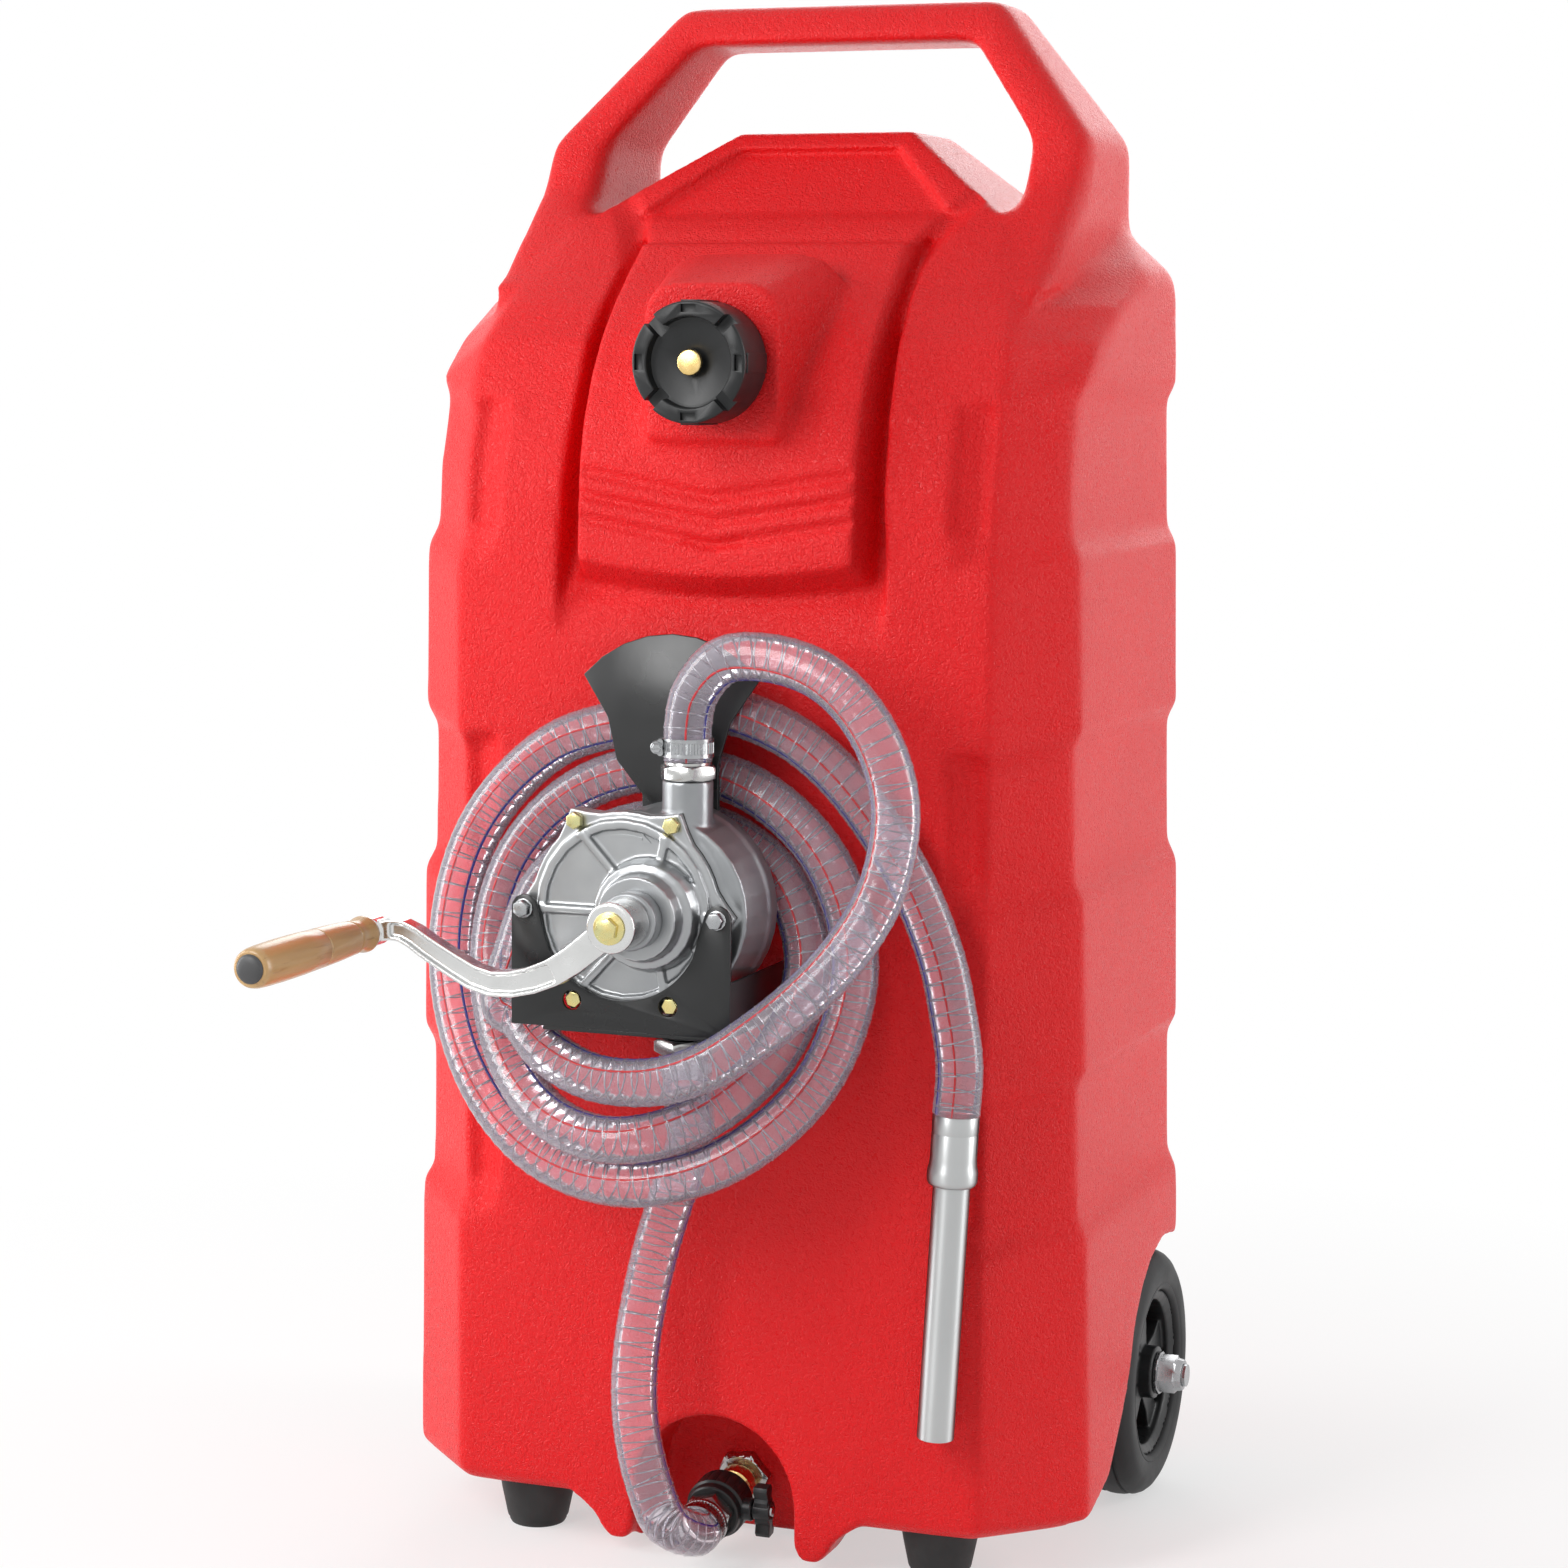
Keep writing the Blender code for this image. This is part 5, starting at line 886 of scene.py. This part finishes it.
def arc(x, z, radius, degrees):
    """Points (x, z) on a circle at the given angles."""
    angles = [math.radians(angle) for angle in degrees]
    return [(x + radius * math.cos(a), z + radius * math.sin(a)) for a in angles]


def placed(bm, matrix):
    bmesh.ops.transform(bm, matrix=matrix, verts=bm.verts)
    return bm


def rolled(bm, angle):
    """A bmesh turned round Z."""
    bmesh.ops.rotate(bm, matrix=Matrix.Rotation(math.radians(angle), 3, "Z"), verts=bm.verts)
    return bm


def joined(*parts):
    """Several solids as one bmesh, side by side or overlapping."""
    whole = bmesh.new()
    for part in parts:
        mesh = mesh_from("part", part)
        whole.from_mesh(mesh)
        bpy.data.meshes.remove(mesh)
    return whole


def held(name, bm):
    """A passing object that holds a bmesh while modifiers run."""
    bmesh.ops.recalc_face_normals(bm, faces=bm.faces)
    return in_scene(name, mesh_from(name, bm))


def released(obj):
    """The bmesh that a passing object's modifiers give."""
    mesh = modified(obj)
    bm = bmesh_of(mesh)
    bpy.data.meshes.remove(mesh)
    return bm


def combined(one, two, operation="DIFFERENCE"):
    base = held("base", one)
    tool = held("tool", two)
    modifier = base.modifiers.new("combine", "BOOLEAN")
    modifier.operation = operation
    modifier.object = tool
    modifier.solver = "EXACT"
    bm = released(base)
    bpy.data.objects.remove(tool)
    return bm


def bevelled(bm, width, segments=2, angle=30.0):
    bmesh.ops.dissolve_limit(bm, angle_limit=math.radians(1.5), verts=bm.verts, edges=bm.edges)
    obj = held("bevelled", bm)
    modifier = obj.modifiers.new("edges", "BEVEL")
    modifier.width = width
    modifier.segments = segments
    modifier.limit_method = "ANGLE"
    modifier.angle_limit = math.radians(angle)
    modifier.miter_outer = "MITER_ARC"
    return released(obj)


def finished(name, bm, angle):
    """A smooth mesh whose edges are sharp past an angle."""
    bmesh.ops.recalc_face_normals(bm, faces=bm.faces)
    mesh = mesh_from(name, bm)
    mesh.shade_smooth()
    mesh.set_sharp_from_angle(angle=math.radians(angle))
    return mesh


def stand_in(node_name, bm, angle, material=None):
    """Puts a finer mesh in the place of one CAD node, on its body and with its finish."""
    name = node_name + "_detail"
    mesh = finished(name, bm, angle)
    return link(name, mesh, BODY_OF[node_name], SLOT_OF[node_name], material, [node_name])


def edged(node_name, width, segments=2, angle=30.0):
    """The CAD solid with small round edges."""
    return stand_in(node_name, bevelled(cad_copy(node_name), width, segments, angle), 50.0)


def casting(node_name, voxel, triangles, material=None, bore=None):
    """The CAD solid with the soft edges of a casting or moulding."""
    mesh = voxel_mesh(node_name + "_net", cad_copy(node_name), voxel)
    smooth_net(mesh, 2)
    bm = bmesh_of(thin_out(node_name + "_thin", mesh, triangles))
    if bore:
        bm = combined(bm, bore)
    return stand_in(node_name, bm, 60.0, material)


def along_y(place):
    """A frame at place whose own Z runs along +Y and own X along +X."""
    turn = Matrix(((1, 0, 0), (0, 0, 1), (0, -1, 0))).to_4x4()
    return Matrix.Translation(place) @ turn


def along_x(place, side):
    """A frame at place whose own Z runs along +X for side 1, or -X for side -1."""
    turn = Matrix(((0, 0, side), (0, side, 0), (-1, 0, 0))).to_4x4()
    return Matrix.Translation(place) @ turn


def valve_frame():
    """Own Z runs from the hose end of the bottom valve back to the tank's recess wall."""
    turn = Matrix.Rotation(math.radians(VALVE_TILT), 4, "X")
    return Matrix.Translation(at(*VALVE_WALL)) @ turn @ along_y((0.0, 0.0, 0.0))


def nut_chamfer(node_name, matrix, low, high, flats):
    """Gives a hexagon the curved corner chamfers of a real nut."""
    inner = 0.485 * flats
    outer = flats / math.sqrt(3) + 0.0004
    fall = (outer - inner) * math.tan(math.radians(29))
    room = 0.03
    keep = [(0.0, low - room), (inner, low - room), (inner, low), (outer, low + fall)]
    keep += [(outer, high - fall), (inner, high), (inner, high + room), (0.0, high + room)]
    bm = combined(cad_copy(node_name), placed(revolve(keep, 72), matrix), "INTERSECT")
    stand_in(node_name, bevelled(bm, 0.00022, 1, 25.0), 40.0)


def worm_clamp(node_name, matrix, turn):
    """A worm-drive clamp: slotted band with rolled edges, screw housing and slotted hex screw."""
    rows = (0.0, 0.0004, 0.0024, 0.0026, 0.0094, 0.0096, 0.0116, CLAMP_WIDTH)
    edges = rows[:2] + rows[6:]
    profile = [(CLAMP_RADIUS - 0.0006, h) for h in (CLAMP_WIDTH, 0.0)]
    profile += [(CLAMP_RADIUS + (0.00025 if h in edges else 0.0), h) for h in rows]

    def reach(i, row):
        inside = row in (5, 6) and i % 4 in (1, 2)
        return 1.0 - (0.0005 / CLAMP_RADIUS if inside else 0.0)

    band = revolve(profile, CLAMP_SLOTS * 4, reach)
    t = math.radians(turn)
    out = Vector((math.cos(t), math.sin(t), 0.0))
    run = Vector((-math.sin(t), math.cos(t), 0.0))
    centre = out * (CLAMP_RADIUS + 0.0034) + Vector((0.0, 0.0, CLAMP_WIDTH / 2))
    cross = Matrix((out, run.cross(out), run)).transposed().to_4x4()
    housing = [(0.0, -0.0062), (0.0036, -0.0062), (0.0041, -0.0056), (0.0041, 0.0056)]
    housing += [(0.0036, 0.0062), (0.0, 0.0062)]
    saddle = box_at((-0.0022, 0.0, 0.0), (0.0036, CLAMP_WIDTH - 0.0012, 0.0128))
    bmesh.ops.bevel(saddle, geom=saddle.edges[:], offset=0.0007, segments=2, affect="EDGES")
    shank = [(0.0, -0.0085), (0.0026, -0.0085), (0.0029, -0.008), (0.0029, 0.0085), (0.0, 0.0085)]
    collar = [(0.0, 0.0078), (0.0038, 0.0078), (0.0038, 0.0088), (0.0, 0.0088)]
    head = [(0.0, 0.0086), (0.0034, 0.0086), (0.0034, 0.0118), (0.0029, 0.0124), (0.0, 0.0124)]
    slot = box_at((0.0, 0.0, 0.0126), (0.009, 0.001, 0.003))
    screw = joined(
        revolve(housing, 24),
        saddle,
        revolve(shank, 20),
        revolve(collar, 24),
        combined(revolve(head, 6), slot),
    )
    screw = placed(screw, Matrix.Translation(centre) @ cross)
    stand_in(node_name, placed(joined(band, screw), matrix), 32.0)


def make_clamps():
    worm_clamp("outlet_clamp", Matrix.Translation(at(PORT[0], PORT[1], 0.5603)), 200.0)
    worm_clamp("inlet_clamp", Matrix.Translation(at(INLET[0], INLET[1], 0.3519)), 160.0)
    lift = Matrix.Translation((0.0, 0.0, -0.0913))
    worm_clamp("valve_clamp", valve_frame() @ lift, -205.0)


def make_fittings():
    """The hexagons of the hose line, each between two heights in its own frame."""
    port = Matrix.Translation(at(PORT[0], PORT[1], 0.0))
    nut_chamfer("outlet_fitting", port, 0.5453, 0.5553, 0.033)
    nut_chamfer("inlet_fitting", port, 0.3667, 0.3767, 0.037)
    nut_chamfer("tank_outlet_nut", valve_frame(), -0.0103, -0.0003, 0.034)
    nut_chamfer("valve_barb", valve_frame(), -0.0763, -0.0663, 0.03)


def make_valve():
    """The black valve body with its fluted grip ring, and the butterfly handle."""
    low, high = -0.066, -0.039
    profile = [
        (0.0113, -0.032), (0.015, -0.032), (0.0158, -0.0328), (0.018, high + 0.0012),
        (0.0202, high - 0.0006), (0.021, high - 0.0022), (0.021, high - 0.003),
        (0.021, low + 0.0086), (0.021, low + 0.0078), (0.0196, low + 0.0062),
        (0.019, low + 0.0012), (0.018, low), (0.0113, low),
    ]

    def reach(i, row):
        if row not in (6, 7):
            return 1.0
        turn = 2 * math.pi * i * VALVE_FLUTES / VALVE_STEPS
        return 1.0 - 0.045 * (0.5 - 0.5 * math.cos(turn)) ** 2

    body = placed(revolve(profile, VALVE_STEPS, reach), valve_frame())
    neck = [(0.0036, 0.015), (0.0078, 0.015), (0.0078, 0.025), (0.007, 0.0258)]
    neck = revolve(neck + [(0.0036, 0.0258)], 32)
    middle = Matrix.Translation((0.0, 0.0, (low + high) / 2 - 0.0005))
    turn = Matrix.Rotation(math.radians(90), 4, "Y")
    neck = placed(neck, valve_frame() @ middle @ turn)
    stand_in("valve_body", joined(body, neck), 32.0)
    edged("valve_handle", 0.0011, 3)
    for node_name in ("valve_stem", "valve_ball"):
        edged(node_name, 0.0002, 1)


def make_wheels():
    """Solid rubber tyres with two tread grooves and moulded rings, on five-spoke rims."""
    half = mm(
        (59.3, 5.6), (59.7, 3.6), (60.6, 2.2), (62, 1.4), (63.8, 1), (64.4, 1.4), (65, 1),
        (68, 0.4), (71.5, 0.1), (75, 0.2), (77.2, 0.6), (79, 1.4), (80, 2), (83.5, 4.2),
        (86.3, 7.5), (87.8, 11.2), (88, 12.2), (86.6, 13), (86.6, 14.6), (88.2, 15.4), (88.8, 18),
    ) + [(WHEEL_RADIUS, TYRE_WIDTH / 2)]
    profile = half + [(r, TYRE_WIDTH - d) for r, d in reversed(half[:-1])]
    for side, name in ((-1, "left"), (1, "right")):
        outer = at(side * WHEEL_X, WHEEL_Y, WHEEL_RADIUS)
        stand_in("tyre_" + name, placed(revolve(profile, 112), along_x(outer, -side)), 28.0)
        casting("rim_" + name, 0.00105, 26000)
        dress(edged("axle_nut_" + name, 0.00035, 2, 20.0), "dull_steel")


def make_feet():
    profile = mm(
        (0, 36.7), (25.5, 36.7), (26.5, 35.8), (26.2, 30), (25.2, 24), (21.6, 6.5), (21.2, 5.2),
        (20.4, 5), (19.9, 2.2), (18.8, 0.4), (18, 0), (11.2, 0), (9.2, 4), (0, 4),
    )
    for side, name in ((-1, "left"), (1, "right")):
        place = Matrix.Translation(at(side * FOOT_X, FOOT_Y, 0.0))
        stand_in("foot_" + name, placed(revolve(profile, 64), place), 30.0)


def make_spout():
    """The crimped ferrule and the plain tube, in line with the end of the hose."""
    top = Vector((SPOUT_TOP[0], SPOUT_TOP[1], SPOUT_TOP[2] - FACE_GAP))
    turn = (-spout_direction()).to_track_quat("Z", "Y").to_matrix().to_4x4()
    matrix = Matrix.Translation(at(*top)) @ turn
    ferrule = mm(
        (12.5, 0), (15, 0), (15.3, -0.5), (15.3, -11.2), (15.05, -11.8), (15.05, -12.4),
        (15.3, -13), (15.3, -29), (15.6, -33.5), (16.4, -36.2), (16.6, -38.5), (16.6, -42.5),
        (16.3, -44.5), (15.5, -46),
    ) + [(0.0142, -FERRULE_LENGTH), (0.0125, -FERRULE_LENGTH)]
    collar = revolve(ferrule, 64)
    for angle in (-92.0, 88.0):
        slot = box_at((0.0156, 0.0, -0.014), (0.003, 0.0011, 0.024))
        collar = combined(collar, rolled(slot, angle))
    stand_in("spout_ferrule", placed(collar, matrix), 40.0, "satin_aluminium")
    end = -FERRULE_LENGTH - SPOUT_LENGTH
    tube = [(0.0108, -0.004), (0.0108, end), (0.0112, end - 1e-5), (0.0119, end)]
    tube += [(0.0122, end + 0.0004), (0.0122, -0.004)]
    stand_in("spout_tube", placed(revolve(tube, 64), matrix), 30.0, "satin_aluminium")


def make_bracket():
    """The sheet across the lower half of the pump cover, its right side folded back to the tank."""
    left, right = PUMP_X - BRACKET_HALF_WIDTH, PUMP_X + BRACKET_HALF_WIDTH
    outline = [(left, BRACKET_LOW), (right, BRACKET_LOW)]
    outline += arc(PUMP_X + BOLT_CIRCLE, PUMP_Z, EAR_RADIUS, (-8, 20, 50, 80, 110, 140, 165))
    outline += arc(PUMP_X, PUMP_Z, CUT_OUT_RADIUS, [-27 - 126 * i / 24 for i in range(25)])
    outline += arc(PUMP_X - BOLT_CIRCLE, PUMP_Z, EAR_RADIUS, (15, 40, 70, 100, 130, 160, 188))
    sheet = bmesh.new()
    plate(sheet, outline, BRACKET_FRONT, BRACKET_BACK)
    for x, z in arc(PUMP_X, PUMP_Z, BOLT_CIRCLE, (240, 300)):
        hole = bmesh.new()
        ends = (at(x, BRACKET_FRONT - 0.01, z), at(x, BRACKET_BACK + 0.01, z))
        cylinder_between(hole, *ends, BRACKET_HOLE, 36)
        sheet = combined(sheet, hole)
    side = block(
        at(right - 0.003, BRACKET_FRONT + 0.0006, BRACKET_LOW), at(right, -0.1634, 0.4195)
    )
    lip = block(
        at(left + 0.022, BRACKET_FRONT + 0.0007, BRACKET_LOW - 0.0026),
        at(right - 0.016, -0.256, BRACKET_LOW + 0.0004),
    )
    parts = [bevelled(part, 0.0006) for part in (sheet, side, lip)]
    stand_in("pump_bracket", joined(*parts), 38.0)


def make_arrow():
    """A thin raised arrow on the cover: which way the crank turns."""
    sweep = [101 - 26 * i / 12 for i in range(13)]
    outline = arc(PUMP_X, PUMP_Z, ARROW_RADIUS + 0.0008, sweep)
    outline += arc(PUMP_X, PUMP_Z, ARROW_RADIUS - 0.0008, sweep[::-1])
    head = arc(PUMP_X, PUMP_Z, ARROW_RADIUS, (68,))
    for reach in (0.003, -0.003):
        head += arc(PUMP_X, PUMP_Z, ARROW_RADIUS + reach, (75.5,))
    bm = bmesh.new()
    for loop in (outline, head):
        plate(bm, loop, ARROW_PROUD, ARROW_FACE)
    mesh = finished("cover_arrow", bm, 30.0)
    link("cover_arrow", mesh, "caddy", SLOT_OF["pump_cover"], "cover_aluminium")


def make_grip():
    """The turned wooden grip on its pin, with the dark disc let into its end."""
    rows = mm(
        (4.4, 150), (10.4, 150), (11.4, 149.4), (11.9, 147.8), (11.7, 145.5), (10.3, 141.5),
        (9.9, 138.5), (10.1, 135), (11, 130.5), (10.9, 129), (10.6, 128.4), (10.9, 127.8),
        (11.3, 125), (12.2, 105), (12.7, 84.2), (12.7, 83.8), (12.3, 83.2), (12.7, 82.6),
        (13.3, 60), (13.5, 35), (13.2, 14), (12.8, 6), (12, 1.8), (11, 0.2), (9.9, 0), (4.4, 0),
    )
    matrix = along_y(at(*GRIP_END))
    stand_in("crank_grip", placed(revolve(rows, 64), matrix), 50.0)
    disc = mm(
        (0, -3.2), (4, -3.1), (6.8, -2.6), (8.4, -1.8), (9.2, -0.4), (5.1, -0.4), (5.1, -1.6),
        (0, -1.6),
    )
    stand_in("grip_end_cap", placed(revolve(disc, 48), matrix), 40.0)


def make_pump():
    """Castings with soft edges; bolts, nuts and sheet metal with small round ones."""
    casting("pump_cover", 0.00095, 90000, "cover_aluminium")
    low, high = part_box("rotor")
    ends = ((PUMP_X, low[1] - 0.004, PUMP_Z), (PUMP_X, high[1] + 0.0009, PUMP_Z))
    chamber = bmesh.new()
    cylinder_between(chamber, *ends, CHAMBER_RADIUS, 96)
    casting("pump_housing", 0.0012, 60000, bore=chamber)
    casting("crank_arm", 0.00085, 50000, "polished_aluminium")
    for k in range(4):
        edged(f"cover_bolt_{k + 1}", 0.00035)
    for node_name in ("bracket_bolt_left", "bracket_bolt_right", "crank_bolt", "gland_nut"):
        edged(node_name, 0.0003)
    edged("hose_hanger", 0.0006, 2, 25.0)
    make_bracket()
    make_grip()
    make_arrow()


def make_cap():
    """The screw cap: four rim lobes with a pocket each, strips down the side, a flat recess."""
    profile = mm(
        (29.8, 38), (29.8, 13), (4.3, 13), (4.3, 9), (26.2, 9), (27.2, 8.6), (28.8, 8.2), (29.4, 1),
        (30.1, 0.3), (38, 0.3), (39, 0.9), (39.4, 2.2), (39.8, 37.4), (39.4, 38),
    )
    cap = revolve(profile, 96)
    strips = []
    for angle in (0, 90, 180, 270):
        gap = block((0.0268, -0.0043, -0.01), (0.05, 0.0043, 0.0091))
        cap = combined(cap, rolled(gap, 45 + angle))
        pocket = block((0.032, -0.0052, -0.01), (0.0372, 0.0052, 0.0034))
        cap = combined(cap, rolled(pocket, angle))
        strip = block((0.038, -0.0064, 0.0036), (0.0401, 0.0064, 0.0376))
        strips.append(bevelled(rolled(strip, angle), 0.0004))
    cap = joined(bevelled(cap, 0.00055, 2, 32.0), *strips)
    stand_in("filler_cap", placed(cap, along_y(at(0.0, CAP_FRONT, CAP_Z))), 38.0)
    edged("vent_button", 0.0004, 2, 28.0)
    spring = stand_in("vent_spring", cad_copy("vent_spring"), 60.0)
    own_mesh(spring)


# Studio


def make_camera():
    """The photograph's view: a direction and a roll round it."""
    az, el, roll = (math.radians(a) for a in (CAMERA_AZIMUTH, CAMERA_ELEVATION, CAMERA_ROLL))
    back = Vector((math.sin(az) * math.cos(el), -math.cos(az) * math.cos(el), math.sin(el)))
    level = Vector((math.cos(az), math.sin(az), 0.0))
    upright = back.cross(level)
    right = math.cos(roll) * level + math.sin(roll) * upright
    up = -math.sin(roll) * level + math.cos(roll) * upright
    data = bpy.data.cameras.new("camera")
    data.lens = CAMERA_LENS
    data.sensor_width = CAMERA_SENSOR
    data.clip_end = 50.0
    camera = in_scene("camera", data)
    turn = Matrix((right, up, back)).transposed().to_4x4()
    camera.matrix_world = Matrix.Translation(CAMERA_PLACE) @ turn
    bpy.context.scene.camera = camera


def make_lamp(name, place, aim, size, power):
    data = bpy.data.lights.new(name, "AREA")
    data.shape = "RECTANGLE"
    data.size, data.size_y = size
    data.energy = power
    lamp = in_scene(name, data)
    lamp.location = place
    lamp.rotation_mode = "QUATERNION"
    lamp.rotation_quaternion = (Vector(aim) - Vector(place)).to_track_quat("-Z", "Y")


def see_rays(tree):
    """1 for rays from the camera, a mirror or clear plastic, else 0."""
    rays = add(tree, "LightPath").outputs
    either = calc(tree, "MAXIMUM", rays["Is Camera Ray"], rays["Is Glossy Ray"])
    return calc(tree, "MAXIMUM", either, rays["Is Transmission Ray"])


def make_stage():
    """A pale floor, a white surround and soft lamps."""
    white = (1.0, 1.0, 1.0, 1.0)
    world = bpy.data.worlds.new("surround")
    bpy.context.scene.world = world
    world.use_nodes = True
    tree = world.node_tree
    tree.nodes.clear()
    plain = add(tree, "Background", Color=white, Strength=WORLD_STRENGTH)
    seen = add(tree, "Background", Color=white, Strength=1.0)
    mix = mixed(tree, see_rays(tree), plain, seen)
    tree.links.new(mix.outputs[0], add(tree, "OutputWorld").inputs["Surface"])

    bm = bmesh.new()
    bmesh.ops.create_grid(bm, x_segments=8, y_segments=8, size=FLOOR_HALF)
    floor = in_scene("floor", mesh_from("floor", bm))
    mat, tree, shader, place = start("pale_floor", 0.8)
    tone = blend(tree, noise(tree, place, 3.0, 2.0), (0.9, 0.9, 0.9), (0.93, 0.93, 0.93))
    tree.links.new(tone, shader.inputs["Base Color"])
    reach = add(tree, "VectorMath", {"operation": "LENGTH"}, Vector=place).outputs["Value"]
    pale = ranged(tree, reach, 0.35, 1.3, 0.55, 1.0)
    share = calc(tree, "MULTIPLY", pale, see_rays(tree))
    mix = mixed(tree, share, shader, add(tree, "Emission", Color=white, Strength=1.0))
    tree.links.new(mix.outputs[0], tree.nodes["Material Output"].inputs["Surface"])
    floor.data.materials.append(mat)

    for lamp in LAMPS:
        make_lamp(*lamp)


make_camera()
make_delivery_hose()
make_suction_hose()
make_tank()
make_clamps()
make_fittings()
make_valve()
make_wheels()
make_feet()
make_spout()
make_pump()
make_cap()
make_stage()

bpy.context.scene.view_settings.view_transform = "Standard"
bpy.context.view_layer.update()
